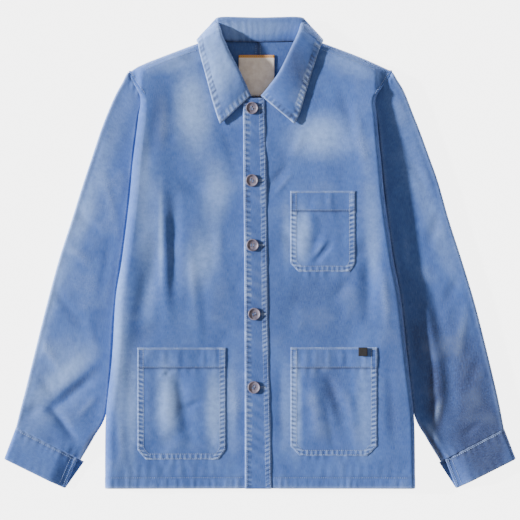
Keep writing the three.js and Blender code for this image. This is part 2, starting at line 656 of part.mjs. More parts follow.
// Back panels, either side of the centre seam
function backGrid(side) {
  const seamX = BACK_SEAM_X + (side * GAP) / 2;
  const columns = BACK_COLUMNS.map((column) => ({ ...column, topX: side * column.topX }));
  columns.unshift({ topX: seamX, topY: BACK_NECK_Y });
  columns.push({ topX: side * BACK_CORNER.x, topY: BACK_CORNER.y });
  const outerAt = (y) => {
    const below = sideFold(side, y) - side * BACK_SIDE_INSET;
    const armhole = side * Math.min(BACK_CORNER.x, Math.abs(sideFold(side, y)) - 3);
    return mix(below, armhole, between(y, ARMPIT_Y, ARMHOLE_Y));
  };
  const lines = [
    ...BACK_ROWS.map((y) => ({ y, share: 0 })),
    ...BACK_TOP_ROWS.map((share) => ({ y: ARMPIT_Y, share })),
  ];
  return lines.map(({ y, share }) =>
    columns.map((column) => {
      const placeY = mix(y, column.topY, share);
      const outerY = mix(y, BACK_CORNER.y, share);
      const across = (column.topX - seamX) / (columns.at(-1).topX - seamX);
      const x = mix(seamX, outerAt(outerY), across);
      return [x, placeY, backHeight(x, placeY)];
    }),
  );
}

function labelGeometry() {
  const heights = [LABEL.y0, 270, NECK_LIFT_START, 301, 304, 307, 310, 313, LABEL.y1];
  const grid = heights.map((y) =>
    [LABEL.x0, LABEL.x1].map((x) => [
      x,
      y,
      backHeight(x, y) + HALF + GAP + LABEL.thick / 2 + LABEL.rise,
    ]),
  );
  return wall(grid, 1, LABEL.thick);
}

// Collar: for each station a stand from the neck seam, a round roll and a leaf to the outer edge
function collarStations() {
  const backwards = LEFT_COLLAR.slice(0, -1).map((row, index) => {
    const front = RIGHT_COLLAR_FRONT;
    const mirrored = { ...row, neckX: -row.neckX, rollX: -row.rollX, edgeX: -row.edgeX, side: RIGHT };
    if (index >= front.neckX.length) return mirrored;
    for (const name of Object.keys(front)) mirrored[name] = front[name][index];
    return mirrored;
  });
  const leftwards = LEFT_COLLAR.map((row) => ({ ...row, side: LEFT }));
  return [...backwards, ...leftwards.reverse()];
}

function collarLine(station) {
  const { side, roll, turn } = station;
  const over = clamp01(turn / COLLAR_OVER_TURN);
  const seat = (x, y) => frontHeight(side, x, y) + HALF + GAP + DOUBLED_HALF;
  const backSeat = backHeight(station.neckX, station.neckY) + HALF + GAP + DOUBLED_HALF;
  const neckZ = mix(backSeat, seat(station.neckX, station.neckY), over);
  const rollZ = mix(roll, centreHeight(station.rollY) + roll, over);
  const edgeZ = mix(DOUBLED_HALF, seat(station.edgeX, station.edgeY), over);
  const inwards = new THREE.Vector3(
    (station.neckX + station.edgeX) / 2 - station.rollX,
    (station.neckY + station.edgeY) / 2 - station.rollY,
    0,
  ).normalize();
  const outwards = new THREE.Vector3(-inwards.y, inwards.x, 0);
  if (outwards.x * side < 0) outwards.negate();
  const angle = THREE.MathUtils.degToRad(turn);
  const leafwards = outwards.multiplyScalar(Math.cos(angle)).add(new THREE.Vector3(0, 0, Math.sin(angle)));
  const crest = new THREE.Vector3(station.rollX, station.rollY, rollZ);
  const centre = crest.clone().addScaledVector(inwards, COLLAR_FOLD);
  const neck = new THREE.Vector3(station.neckX, station.neckY, neckZ);
  const edge = new THREE.Vector3(station.edgeX, station.edgeY, edgeZ);
  const standTop = centre.clone().addScaledVector(leafwards, -COLLAR_FOLD);
  const leafTop = centre.clone().addScaledVector(leafwards, COLLAR_FOLD);
  const standMiddle = neck.clone().lerp(standTop, 0.5);
  const under = clamp01(-turn / 90);
  const leaf = COLLAR_LEAF_SHARES.map((share) => {
    const point = leafTop.clone().lerp(edge, share);
    const sunk = mix(share, 1 - (1 - share) ** COLLAR_UNDER_POWER, under);
    point.z = mix(leafTop.z, edge.z, sunk);
    return point.addScaledVector(leafwards, COLLAR_BULGE * Math.sin(Math.PI * share) * (1 - under));
  });
  const points = [neck, standMiddle, standTop, crest, leafTop, ...leaf, edge];
  return points.map((point) => [point.x, point.y, Math.max(DOUBLED_HALF, point.z)]);
}

function collarGeometry() {
  return wall(collarStations().map(collarLine), 1, DOUBLED);
}

// The jacket
const jacket = new THREE.Group();
jacket.name = "chore_jacket";

function add(name, geometry, colour = BLUE, roughness = 0.88) {
  const material = new THREE.MeshStandardMaterial({ color: colour, roughness, metalness: 0 });
  const mesh = new THREE.Mesh(geometry, material);
  mesh.name = name;
  jacket.add(mesh);
  return mesh;
}

const leftFront = frontLayers(LEFT, LEFT_COLUMNS, LEFT_ROWS);
const rightFront = frontLayers(RIGHT, RIGHT_COLUMNS, RIGHT_ROWS);
add("back_left", wall(backGrid(LEFT), LEFT, CLOTH));
add("back_right", wall(backGrid(RIGHT), RIGHT, CLOTH));
add("front_left", solidFromLayers(leftFront.upper, leftFront.lower));
add("front_right", solidFromLayers(rightFront.upper, rightFront.lower));
add("placket", placketGeometry());
add("collar", collarGeometry());
for (const [name, table, side] of [["left", LEFT_SLEEVE, LEFT], ["right", RIGHT_SLEEVE, RIGHT]]) {
  add(`sleeve_${name}_upper`, wall(sleeveGrid(table, SLEEVE_UPPER), -side, CLOTH));
  add(`sleeve_${name}_under`, wall(sleeveGrid(table, SLEEVE_UNDER), -side, CLOTH));
}
add("cuff_left", cuffGeometry(LEFT_CUFF, LEFT));
add("cuff_right", cuffGeometry(RIGHT_CUFF, RIGHT));
add("pocket_chest", pocketGeometry(leftFront.upper, CHEST_POCKET, POCKET_LIFT, CLOTH));
add("pocket_left", pocketGeometry(leftFront.upper, LEFT_POCKET, POCKET_LIFT, CLOTH));
add("pocket_right", pocketGeometry(rightFront.upper, RIGHT_POCKET, POCKET_LIFT, CLOTH));
const tabLift = POCKET_LIFT + CLOTH + POCKET_BAND_EXTRA + GAP + TAB.rise;
add("pocket_tab", pocketGeometry(leftFront.upper, TAB, tabLift, TAB.thick), 0x1c1816, 0.8);
add("neck_label", labelGeometry(), 0xe3d8cc, 0.8);
BUTTONS.forEach(({ x, y }, index) => {
  const button = add(`button_${index + 1}`, buttonGeometry(), 0x857a80, 0.5);
  button.position.set(x, y, centreHeight(y) + HALF + GAP + PLACKET_CLOTH + GAP);
});

export default jacket;
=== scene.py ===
"""A washed cotton twill chore jacket, buttoned and laid flat on its back, dressed for rendering.

Sizes below are in millimetres in the frame's axes: +X is the wearer's left, +Y runs from hem to collar
and +Z is up from the surface. Meshes are written in metres.
"""

import math

import bpy
import numpy as np
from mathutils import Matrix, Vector
from mathutils.bvhtree import BVHTree


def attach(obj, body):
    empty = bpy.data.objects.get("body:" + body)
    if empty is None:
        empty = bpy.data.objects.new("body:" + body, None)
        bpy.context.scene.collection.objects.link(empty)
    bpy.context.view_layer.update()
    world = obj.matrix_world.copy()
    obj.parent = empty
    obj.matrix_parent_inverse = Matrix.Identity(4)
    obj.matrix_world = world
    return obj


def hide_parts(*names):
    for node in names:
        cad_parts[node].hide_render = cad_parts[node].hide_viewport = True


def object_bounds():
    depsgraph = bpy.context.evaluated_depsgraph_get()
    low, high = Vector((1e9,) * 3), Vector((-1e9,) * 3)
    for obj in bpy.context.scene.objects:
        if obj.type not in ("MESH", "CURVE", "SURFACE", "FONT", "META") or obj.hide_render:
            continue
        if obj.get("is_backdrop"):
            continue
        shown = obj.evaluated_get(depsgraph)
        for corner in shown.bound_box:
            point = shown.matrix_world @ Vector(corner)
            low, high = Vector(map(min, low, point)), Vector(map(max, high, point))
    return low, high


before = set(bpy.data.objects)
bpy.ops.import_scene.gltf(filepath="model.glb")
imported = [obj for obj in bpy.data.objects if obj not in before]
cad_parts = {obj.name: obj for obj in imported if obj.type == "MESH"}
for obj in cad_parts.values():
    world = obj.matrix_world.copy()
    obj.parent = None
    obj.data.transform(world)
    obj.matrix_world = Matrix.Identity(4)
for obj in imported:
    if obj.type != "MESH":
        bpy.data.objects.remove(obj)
cad_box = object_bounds()

MM = 0.001
ROOT = "root"

# Cloth
CLOTH = 1.5
DOUBLED = 2.4
PLACKET_CLOTH = 3.0
GAP = 0.3
HALF = CLOTH / 2
DOUBLED_HALF = DOUBLED / 2
ROUND_EDGE = 0.35
LEFT = 1
RIGHT = -1
SIDES = (LEFT, RIGHT)

# Sizes of the random lattices behind the smooth noise
LINE_LATTICE = 997
FIELD_LATTICE = 211

# Mesh steps
FRONT_STEP = 2.35
SLEEVE_STEP = 2.6
POCKET_STEP = 1.4
COLLAR_STEP = 2.2
PLACKET_STEP = 1.6
CUFF_STEP = 1.7
BACK_STEP = 5.0


def table(names, *rows):
    """A table of rows as one array for each named column."""
    columns = names.split()
    return {name: np.array([row[place] for row in rows], float) for place, name in enumerate(columns)}


# Body: the fold down each side, and the heights of the fronts' middle layer
BODY = table(
    "y left right side centre",
    (-377, 248.5, -248, 22, 16.5),
    (-330, 248.3, -248.2, 25.5, 18.5),
    (-261, 246.4, -246.6, 28, 20.5),
    (-170, 236.3, -237, 29.5, 22),
    (-70, 225, -230.5, 30.5, 23),
    (-12, 214, -221, 30.5, 23),
    (86, 200, -209, 30, 23),
    (144, 194.3, -203.7, 29, 22),
    (218, 187.3, -194.7, 26.5, 18.2),
    (250, 186.3, -192, 24, 17.3),
    (285, 212.6, -211.6, 20.5, 15),
    (345, 214, -213, 15, 12.5),
)
SHOULDER_FOLD_X = {LEFT: 186, RIGHT: 191}
SHOULDER_FOLD_WIDTH = 10
SHOULDER_FOLD_DROP = 7.5
SHOULDER_FOLD_START = 234
SHOULDER_FOLD_END = 258
BODY_FLAT_HALF = 30
BODY_SWELL = 1.6
LEFT_FRONT_LAP = 2.6
ROLL_ANGLE = math.radians(165)
ARMHOLE_ANGLE = math.radians(50)
ARMHOLE_RADIUS = 6
ARMPIT_Y = 222
ARMHOLE_Y = 275
ROLL_STEPS = 12
HEM_Y = -377
HEM_DEPTH = 18
HEM_EXTRA = 0.8
HEM_STITCH_Y = HEM_Y + HEM_DEPTH - 1
FRONT_LENGTH = 226
FRONT_HALF_WIDTH = 238

COLUMN_NAMES = "low chest top_x top_y drop"
COLUMNS = {
    LEFT: table(
        COLUMN_NAMES,
        (15, 11, 9, 246, 0),
        (30, 30, 26, 268, 0),
        (49, 48.5, 42, 293, 0),
        (64, 62, 59, 320, 0.1),
        (88, 82, 71, 341, 0.6),
        (112, 103, 98, 336.2, 1),
        (136, 124, 124, 327, 1),
        (157, 143, 148, 318, 1),
        (171, 152, 170, 309, 1),
        (187, 168, 190, 300, 1),
    ),
    RIGHT: table(
        COLUMN_NAMES,
        (4, 4, 3, 243, 0),
        (-11, -11, -11, 245, 0),
        (-28, -28, -21, 259, 0),
        (-41, -39, -33, 279, 0),
        (-54.5, -52, -45, 299, 0),
        (-67, -70, -60, 323, 0.1),
        (-92, -90, -72, 341, 0.6),
        (-116, -110, -100, 334.6, 1),
        (-140, -130, -127, 325, 1),
        (-164, -150, -152, 315.5, 1),
        (-182, -168, -178, 305.5, 1),
        (-195.4, -182, -196, 297.5, 1),
    ),
}
LOW_COLUMNS_END = -140
CHEST_COLUMNS_START = -40
TOP_START = 105
SHOULDER_CORNER = {LEFT: 292, RIGHT: 291}
ARMHOLE_HIGH = (213, 287)
ARMHOLE_LOW = (190, 252)
ARMHOLE_WAVE = 6.5
ARMHOLE_SEED = 25
ARMHOLE_RISE = 0.45

# Folds of the cloth as it lies: a line, its half width and how far it stands up or sinks
FOLD_NAMES = "x0 y0 x1 y1 width rise"
FRONT_FOLDS = table(
    FOLD_NAMES,
    (-158, 105, -147, -105, 11, 2.5),
    (-136, 87, -139, -70, 10, -3),
    (-160, 20, -202, -138, 15, -3),
    (-205, 148, -208, -140, 16, 1.5),
    (-134, 116, -77, 86, 13, -2),
    (173, -4, 173, -100, 11, -3),
    (142, -44, 120, -73, 10, -2),
    (93, 36, 84, -4, 9, -1.5),
    (-131, -196, -112, -300, 11, -2.5),
    (-150, -204, -150, -284, 10, 1.5),
    (99, -188, 136, -260, 11, -2),
)
SLEEVE_FOLDS = table(
    FOLD_NAMES,
    (-333, -250, -264, -196, 11, -3.2),
    (-333, -250, -300, -296, 10, -2.6),
    (-376, -260, -349, -244, 9, -2),
    (262, -73, 283, -172, 11, 2.9),
    (283, -172, 289, -236, 11, 2.9),
    (272, -49, 302, -172, 13, -1.7),
    (302, -172, 306, -252, 13, -1.7),
)

# Smaller creases, laid over the folds
FRONT_CREASES = table(
    FOLD_NAMES,
    (-162, -112, -198, -142, 15, -1.6),
    (-198, -142, -211, -206, 13, -1.0),
    (43, 140, 16, 108, 6, -1.2),
    (52, 128, 24, 92, 5, 0.8),
    (112, 12, 88, -15, 6, -1.1),
    (-208, -140, -208, -236, 9, -0.6),
    (-120, 312, -100, 308, 5, -1),
    (-122, -249, -98, -238, 5, -1),
    (104, -236, 117, -308, 7, -1.2),
    (-70, 60, -62, -40, 9, 0.8),
    (-92, -40, -86, -140, 8, -0.9),
    (-110, 10, -104, -90, 7, 0.8),
    (196, -30, 204, -120, 7, 1),
    (150, -60, 132, -130, 9, 0.5),
    (60, -60, 44, -130, 10, -0.5),
    (30, 36, 62, 4, 8, -0.9),
    (150, -10, 172, 20, 9, -1.0),
    (150, 230, 168, 140, 10, 1.1),
    (128, 260, 150, 190, 9, -0.9),
    (-168, 220, -182, 130, 10, -1.1),
    (-150, 250, -158, 170, 9, 0.9),
    (-60, 200, -40, 130, 8, -0.7),
    (70, 190, 50, 150, 7, 0.6),
    (30, -180, 36, -300, 8, -0.7),
    (-40, -200, -34, -320, 8, 0.7),
    (206, -190, 214, -300, 8, -1.1),
    (-224, -250, -219, -340, 7, 0.9),
    (222, -60, 236, -160, 7, -0.9),
)
POCKET_CREASES = table(
    FOLD_NAMES,
    (98, 34, 78, -4, 6, -0.5),
    (112, 14, 91, -12, 5, -1.5),
    (104, 20, 88, -8, 5, 0.5),
    (88, 58, 100, 46, 7, -0.8),
    (-140, -200, -138, -285, 12, 1.3),
    (-133, -198, -124, -230, 6, -0.5),
    (-123, -281, -150, -303, 9, -1.0),
    (-118, -251, -98, -238, 5, -0.5),
    (-151, -196, -145, -190, 4, -1.3),
    (84, -200, 92, -290, 10, 0.9),
    (110, -196, 128, -270, 9, -1.2),
    (140, -220, 150, -290, 8, 0.8),
)
SLEEVE_CREASES = table(
    FOLD_NAMES,
    (-333, -250, -296, -300, 5, -1.4),
    (264, -274, 288, -308, 7, 2),
    (349, -276, 325, -292, 6, -1.4),
    (290, -236, 280, -271, 7, 1.8),
    (-300, 70, -262, 30, 8, -1),
    (-318, 20, -270, -20, 8, 0.9),
    (-250, 120, -232, 60, 8, 0.8),
    (-240, 20, -256, -70, 8, -0.9),
    (-330, -60, -292, -110, 8, -1.1),
    (-280, -90, -262, -160, 8, 0.9),
    (-350, -140, -318, -190, 7, 0.9),
    (-262, -230, -290, -262, 6, 1),
    (-352, -200, -330, -232, 6, -0.9),
    (240, 150, 266, 100, 8, -0.9),
    (226, 60, 236, -20, 9, 0.9),
    (286, 60, 270, 10, 8, -1),
    (318, -40, 296, -80, 8, -1),
    (330, -90, 318, -160, 8, 0.9),
    (244, -110, 254, -180, 8, -1),
    (350, -170, 332, -220, 7, -1),
    (262, -230, 274, -262, 6, -1),
)

# Soft unevenness of each piece: the height, size and seed of its noise
FRONT_UNEVEN = ((0.55, 34, 11), (0.22, 13, 12))
POCKET_UNEVEN = ((0.5, 26, 51), (0.2, 11, 52))
SLEEVE_UNEVEN = ((0.7, 38, 101), (0.25, 14, 102))
COLLAR_UNEVEN = ((0.45, 26, 147), (0.18, 11, 148))

# Ripples above the hem: how far up they lie and reach, and the height, wave and seed of each
HEM_RIPPLES = (
    (7, 8, ((0.36, 14, 21), (0.3, 9, 22))),
    (26, 12, ((0.3, 17, 23),)),
)

# Pull of a pocket's sewn edges on the front beside and below them
PULL_INSIDE = 4
PULL_BESIDE = {"rise": 0.35, "reach": 9, "lean": 0.4, "wave": 11}
PULL_BELOW = {"rise": 0.4, "reach": 8, "wave": 13}

SLEEVE_NAMES = "out_x out_y in_x in_y top hung"
SLEEVES = {
    RIGHT: table(
        SLEEVE_NAMES,
        (-213.4, 284.2, -193.4, 249.4, 13.5, 0),
        (-230.4, 255.4, -195, 222, 13, 1),
        (-244.5, 224, -197, 196, 12.5, 1),
        (-256.8, 191.7, -201, 166, 12, 1),
        (-270, 152, -205, 126, 11.5, 1),
        (-283.4, 112, -209, 86, 11.5, 1),
        (-303, 50, -216, 25, 11.5, 1),
        (-323, -12, -226, -42, 11.5, 1),
        (-340.5, -76, -233, -108, 11.5, 1),
        (-358, -145, -238, -182, 11.5, 1),
        (-375.2, -214.7, -246, -258, 12, 1),
        (-384, -249, -266, -297, 12.5, 1),
        (-391.4, -279.6, -287, -332.6, 13, 1),
    ),
    LEFT: table(
        SLEEVE_NAMES,
        (214.6, 284, 188.3, 249, 13.5, 0),
        (230, 261, 187, 222, 13, 1),
        (245, 224, 189, 196, 12.5, 1),
        (257.8, 191.7, 192, 166, 12, 1),
        (273, 150, 196, 124, 11.5, 1),
        (286.4, 112, 200, 86, 11.5, 1),
        (304, 50, 207, 25, 11.5, 1),
        (324, -12, 219, -42, 11.5, 1),
        (344, -78, 229, -108, 11.5, 1),
        (361.5, -146, 237, -182, 11.5, 1),
        (378.5, -217, 246, -258, 12, 1),
        (385.5, -250, 267, -299, 12.5, 1),
        (391.4, -281.9, 289, -335.3, 13, 1),
    ),
}
SLEEVE_FOLD_GAP = 0.9
SLEEVE_EDGE_SHARPNESS = 2.2
SLEEVE_TUCK = 5
SLEEVE_TUCK_DROP = 1.4
SLEEVE_HEAD_BULGE = 1.2
SLEEVE_ARMPIT_TUCK = 7
SLEEVE_LENGTH = 640
SLEEVE_ROW_LENGTH = 50
SLEEVE_ACROSS = 56
SLEEVE_EVENNESS = 0.55

# Cuffs: the seam to the sleeve and the open end, each from the outer fold to the lapped end
CUFF_NAMES = "seam_out seam_in mouth_out mouth_in"
CUFFS = {
    RIGHT: ((-391.5, -280.2), (-293, -330.3), (-410, -330), (-314, -377.2)),
    LEFT: ((391.6, -282.4), (297.5, -331.5), (410, -330), (316, -377.2)),
}
CUFF_DEPTH = 53
CUFF_UPPER_COLUMNS = 60
CUFF_FOLD_COLUMNS = 13
CUFF_UNDER_COLUMNS = 24
CUFF_TOP = 13.2
CUFF_UNDERLAP_SEAM = 0.1
CUFF_UNDERLAP_MOUTH = 0.01
CUFF_LAP_END = 0.3
CUFF_LAP_SEAM_HEIGHT = 6.5

# Placket down the left front, and its buttons
PLACKET = table(
    "y free seam",
    (-377, -23, 18.6),
    (-236, -23.2, 15.6),
    (-106, -23.6, 12.6),
    (7, -24.2, 11.4),
    (129, -25.4, 9.8),
    (246, -26.2, 7),
)
PLACKET_TOP = 246
PLACKET_COLUMNS = 26
PLACKET_MIDDLE = 34
PLACKET_PAD = 0.35
BUTTONS = ((-12.8, 230.7), (-12.8, 114.9), (-11.8, 11.7), (-9, -98.2), (-9.6, -215.2))
BUTTON_RADIUS = 10
BUTTON_THICK = 3
BUTTON_SIDES = 56
BUTTON_RIM = 1.9
BUTTON_TURN = 0.5
BUTTON_THREAD_HEIGHT = 1.3
BUTTON_HOLE = 1.1
BUTTON_HOLE_OFFSET = 1.9

# Patch pockets: outline with its lower corners cut off
POCKET_CLOTH = 0.7
POCKET_LIFT = 0.1
POCKET_BAND_EXTRA = 0.4
POCKET_TURNED_EXTRA = 0.2
POCKET_SIDE_WAVE = 7
POCKET_FOOT_WAVE = 8
POCKET_UNDER_BAND = 14
POCKETS = {
    "pocket_chest": {
        "side": LEFT, "x0": 48.5, "x1": 152, "bottom": -31, "top": 98,
        "chamfer_y": -17, "chamfer_x0": 62, "chamfer_x1": 143, "band": 66, "puff": 0.8,
    },
    "pocket_left": {
        "side": LEFT, "x0": 49, "x1": 187, "bottom": -325, "top": -151.5,
        "chamfer_y": -309, "chamfer_x0": 64, "chamfer_x1": 171, "band": -184.5, "puff": 1.2,
    },
    "pocket_right": {
        "side": RIGHT, "x0": -195.4, "x1": -54.5, "bottom": -331, "top": -152,
        "chamfer_y": -315, "chamfer_x0": -182, "chamfer_x1": -67, "band": -184.5, "puff": 1.2,
    },
}
TAB = {"x0": 157, "x1": 171, "y0": -165, "y1": -151.5}
TAB_THICK = 0.8
TAB_RISE = 1.4

# Back panels
BACK_SEAM_X = -3
BACK_TOP = table(
    "x y",
    (0, 337.4),
    (36, 337.6),
    (58, 338.4),
    (71, 340.6),
    (102, 333),
    (135, 320.6),
    (175, 304.8),
    (209, 285),
)
BACK_HEM = -373
BACK_SIDE_INSET = 15
BACK_HEM_INSET = 4
BACK_COLUMNS = 27
BACK_TOP_ROWS = 54
BACK_SHOULDER_X = 209
BACK_SHOULDER_Y = 285
BACK_HIDDEN = (HEM_Y + 74, HEM_Y + 104)
BACK_SEAM_DARK = 0.4
# Painted shade over the whole back, which shows only inside the neck
BACK_NECK_PAINTED_SHADE = 0.35
NECK_LIFT = DOUBLED + 3 * GAP
NECK_LIFT_START = 297
NECK_LIFT_END = 316
NECK_LIFT_NARROW = 104
NECK_LIFT_WIDE = 134
LABEL = {"x0": -34, "x1": 23, "y0": 251, "y1": 316.5}
LABEL_THICK = 0.9
LABEL_RISE = 0.45
LABEL_EDGE_START = 4.2
LABEL_EDGE_END = 3.8

# Collar: neck seam, roll and outer edge, from the right front end round the back to the left front end.
# turn is 90 where the leaf lies over the stand and -90 where it lies under the back.
COLLAR_NAMES = "neck_x neck_y roll_x roll_y edge_x edge_y roll turn"
COLLAR_RIGHT_FRONT = (
    (-18, 247, -15.5, 251.5, -63.4, 206, 6.5, 90),
    (-31, 266, -23, 268, -71, 228, 7, 90),
    (-44, 288, -34.5, 292, -78.5, 254, 7, 90),
    (-57, 311, -48.3, 318.2, -85.5, 281, 8, 90),
    (-65, 327, -54.5, 332, -91.5, 303, 8, 80),
    (-67, 336.5, -61, 346.6, -96.5, 322, 8.5, 66),
)
COLLAR_LEFT_FRONT = (
    (5, 247, 2.6, 250.5, 55.4, 206, 6.5, 90),
    (21, 262, 14.4, 264.6, 62.6, 222, 7, 90),
    (38, 286, 31.2, 287.7, 71, 250, 7, 90),
    (53, 309, 45, 315.2, 79.6, 279, 8, 90),
    (63, 326, 52.5, 331, 87, 303, 8, 80),
    (66, 336, 59.5, 346, 94, 324, 8.5, 66),
)
COLLAR_BACK = (
    (65, 338.4, 63, 355, 98.6, 334, 7, 45),
    (63, 339.4, 66.6, 366, 101, 341, 12, 10),
    (58, 339.2, 69, 374.5, 99, 337, 12, -40),
    (48, 339, 56, 376.5, 78, 324, 12, -85),
    (26, 338.6, 30, 376, 40, 321, 12, -90),
)
COLLAR_CENTRE = (0, 338.4, 0, 375.4, 0, 320, 12, -90)
ROLL_NARROWING = {LEFT: 0.6, RIGHT: 1}
COLLAR_FOLD = 3
COLLAR_BULGE = 1.6
COLLAR_OVER_TURN = 45
COLLAR_LEAF_SHARES = (0.22, 0.6)
COLLAR_UNDER_POWER = 6
COLLAR_EDGE_LIFT = 2.2
COLLAR_ROLL_CUT = 5
COLLAR_ROLL_RISE = 2.5
END_STATION_LENGTH = 23
COLLAR_PROFILE_STEPS = 9


def clamp01(value):
    return np.clip(value, 0, 1)


def mix(start, end, share):
    return start + (end - start) * share


def between(value, start, end):
    """0 before start, 1 after end, and a soft step between them."""
    share = clamp01((np.asarray(value, float) - start) / (end - start))
    return share * share * (3 - 2 * share)


def curve(t, start, end, start_slope, end_slope):
    """The place t, from 0 to 1, along a smooth curve with the given slopes at its two ends."""
    return (
        start * (2 * t**3 - 3 * t**2 + 1)
        + end * (3 * t**2 - 2 * t**3)
        + start_slope * (t**3 - 2 * t**2 + t)
        + end_slope * (t**3 - t**2)
    )


def read(rows, column, at, key="y"):
    """Reads a column of a table at a place, as a smooth curve through the rows."""
    order = np.argsort(rows[key])
    places = rows[key][order]
    values = rows[column][order]
    last = len(places) - 1
    before = np.maximum(np.arange(last + 1) - 1, 0)
    after = np.minimum(np.arange(last + 1) + 1, last)
    slope = (values[after] - values[before]) / (places[after] - places[before])
    place = np.clip(at, places[0], places[-1])
    index = np.clip(np.searchsorted(places, place, side="right") - 1, 0, last - 1)
    step = places[index + 1] - places[index]
    t = (place - places[index]) / step
    return curve(t, values[index], values[index + 1], slope[index] * step, slope[index + 1] * step)


def hump(distance, width):
    """1 where the distance is 0, falling softly to nothing past the width."""
    return np.exp(-((distance / width) ** 2))


def noise_line(along, size, seed):
    """Smooth random values from -1 to 1 along a line, size millimetres apart."""
    lattice = np.random.default_rng(seed).uniform(-1, 1, LINE_LATTICE)
    place = np.asarray(along, float) / size
    cell = np.floor(place).astype(int)
    share = between(place - cell, 0, 1)
    return mix(lattice[cell % LINE_LATTICE], lattice[(cell + 1) % LINE_LATTICE], share)


def noise_field(x, y, size, seed):
    """Smooth random values from -1 to 1 over a surface, size millimetres apart."""
    count = FIELD_LATTICE
    lattice = np.random.default_rng(seed).uniform(-1, 1, (count, count))
    u = np.asarray(x, float) / size
    v = np.asarray(y, float) / size
    i = np.floor(u).astype(int)
    j = np.floor(v).astype(int)
    s = between(u - i, 0, 1)
    t = between(v - j, 0, 1)
    low = mix(lattice[i % count, j % count], lattice[(i + 1) % count, j % count], s)
    high = mix(lattice[i % count, (j + 1) % count], lattice[(i + 1) % count, (j + 1) % count], s)
    return mix(low, high, t)


def uneven(x, y, *rows):
    """The sum of smooth random fields, each row a height, a size and a seed."""
    return sum(height * noise_field(x, y, size, seed) for height, size, seed in rows)


def broken(x, y, usual, size, seed):
    """A patchy share of a wash mark: usual where the noise is level, and 1 where it is highest."""
    return mix(usual, 1, noise_field(x, y, size, seed))


def ripple(along, wave, seed):
    """Uneven waves of a puckered seam, from -1 to 1."""
    wander = noise_line(along, 2.6 * wave, seed)
    swell = noise_line(along, 3.7 * wave, seed + 1)
    return np.sin(2 * np.pi * (along / wave + 0.55 * wander)) * (0.62 + 0.38 * swell)


def ripples(along, *rows):
    """The sum of ripples, each row a height, a wave and a seed."""
    return sum(height * ripple(along, wave, seed) for height, wave, seed in rows)


def ladder(along, from_edge, wave, seed, first=1.0, last=9.0):
    """Close even puckers between the two stitch rows of a sewn edge, from -1 to 1."""
    wander = noise_line(along, 3 * wave, seed)
    swell = noise_line(along, 2.3 * wave, seed + 1)
    held = between(from_edge, first - 1.2, first + 1.2) * (1 - between(from_edge, last - 1.5, last + 1.5))
    return held * np.sin(2 * np.pi * (along / wave + 0.3 * wander)) * (0.75 + 0.25 * swell)


def fold_rise(folds, x, y):
    """Height that folds add at a place."""
    rise = np.zeros(np.broadcast(x, y).shape)
    for x0, y0, x1, y1, width, height in zip(*(folds[name] for name in FOLD_NAMES.split())):
        dx = x1 - x0
        dy = y1 - y0
        along = clamp01(((x - x0) * dx + (y - y0) * dy) / (dx * dx + dy * dy))
        away = np.hypot(x - x0 - dx * along, y - y0 - dy * along)
        rise = rise + height * (0.4 + 0.6 * np.sin(np.pi * along)) * hump(away, width)
    return rise


def edge_drop(distance, radius):
    """How far a sheet has turned down at a distance from the fold that it turns round."""
    inside = np.clip(radius - np.maximum(0, distance), 0, None)
    return radius - np.sqrt(np.maximum(0, radius * radius - inside**2))


def centre_height(y):
    return read(BODY, "centre", y)


def side_name(side):
    return "left" if side == LEFT else "right"


def side_fold(side, y):
    return read(BODY, side_name(side), y)


def front_height(side, x, y):
    """Middle layer of a front above the surface, with the folds that its solid has."""
    reach = np.abs(side_fold(side, y))
    share = clamp01((np.abs(x) - BODY_FLAT_HALF) / (reach - BODY_FLAT_HALF))
    lap = LEFT_FRONT_LAP * (1 - share) if side == LEFT else 0
    swell = mix(centre_height(y), read(BODY, "side", y), share**BODY_SWELL)
    fold_x = SHOULDER_FOLD_X[side]
    past = between(np.abs(x), fold_x - SHOULDER_FOLD_WIDTH / 3, fold_x + SHOULDER_FOLD_WIDTH)
    high = between(y, SHOULDER_FOLD_START, SHOULDER_FOLD_END)
    return swell + lap - SHOULDER_FOLD_DROP * past * high + fold_rise(FRONT_FOLDS, x, y)


def back_lift(x, y):
    along = between(y, NECK_LIFT_START, NECK_LIFT_END)
    across = 1 - between(np.abs(x), NECK_LIFT_NARROW, NECK_LIFT_WIDE)
    return NECK_LIFT * along * across


def back_height(x, y):
    return HALF + back_lift(x, y)


def pocket_sides(pocket, y):
    """Left and right edge of a pocket at a height, with the lower corners cut off."""
    low = clamp01((pocket["chamfer_y"] - y) / (pocket["chamfer_y"] - pocket["bottom"]))
    return mix(pocket["x0"], pocket["chamfer_x0"], low), mix(pocket["x1"], pocket["chamfer_x1"], low)


def armhole_puckers(x, y):
    """Puckers between the stitch rows beside each armhole seam, past the fold at the shoulder."""
    out = np.abs(x) - ARMHOLE_HIGH[0]
    up = y - ARMHOLE_HIGH[1]
    dx = ARMHOLE_LOW[0] - ARMHOLE_HIGH[0]
    dy = ARMHOLE_LOW[1] - ARMHOLE_HIGH[1]
    length = math.hypot(dx, dy)
    along = (out * dx + up * dy) / length
    from_seam = (out * dy - up * dx) / length
    near = between(along, -4, 2) * (1 - between(along, length, length + 8))
    return near * ladder(along, from_seam, ARMHOLE_WAVE, ARMHOLE_SEED)


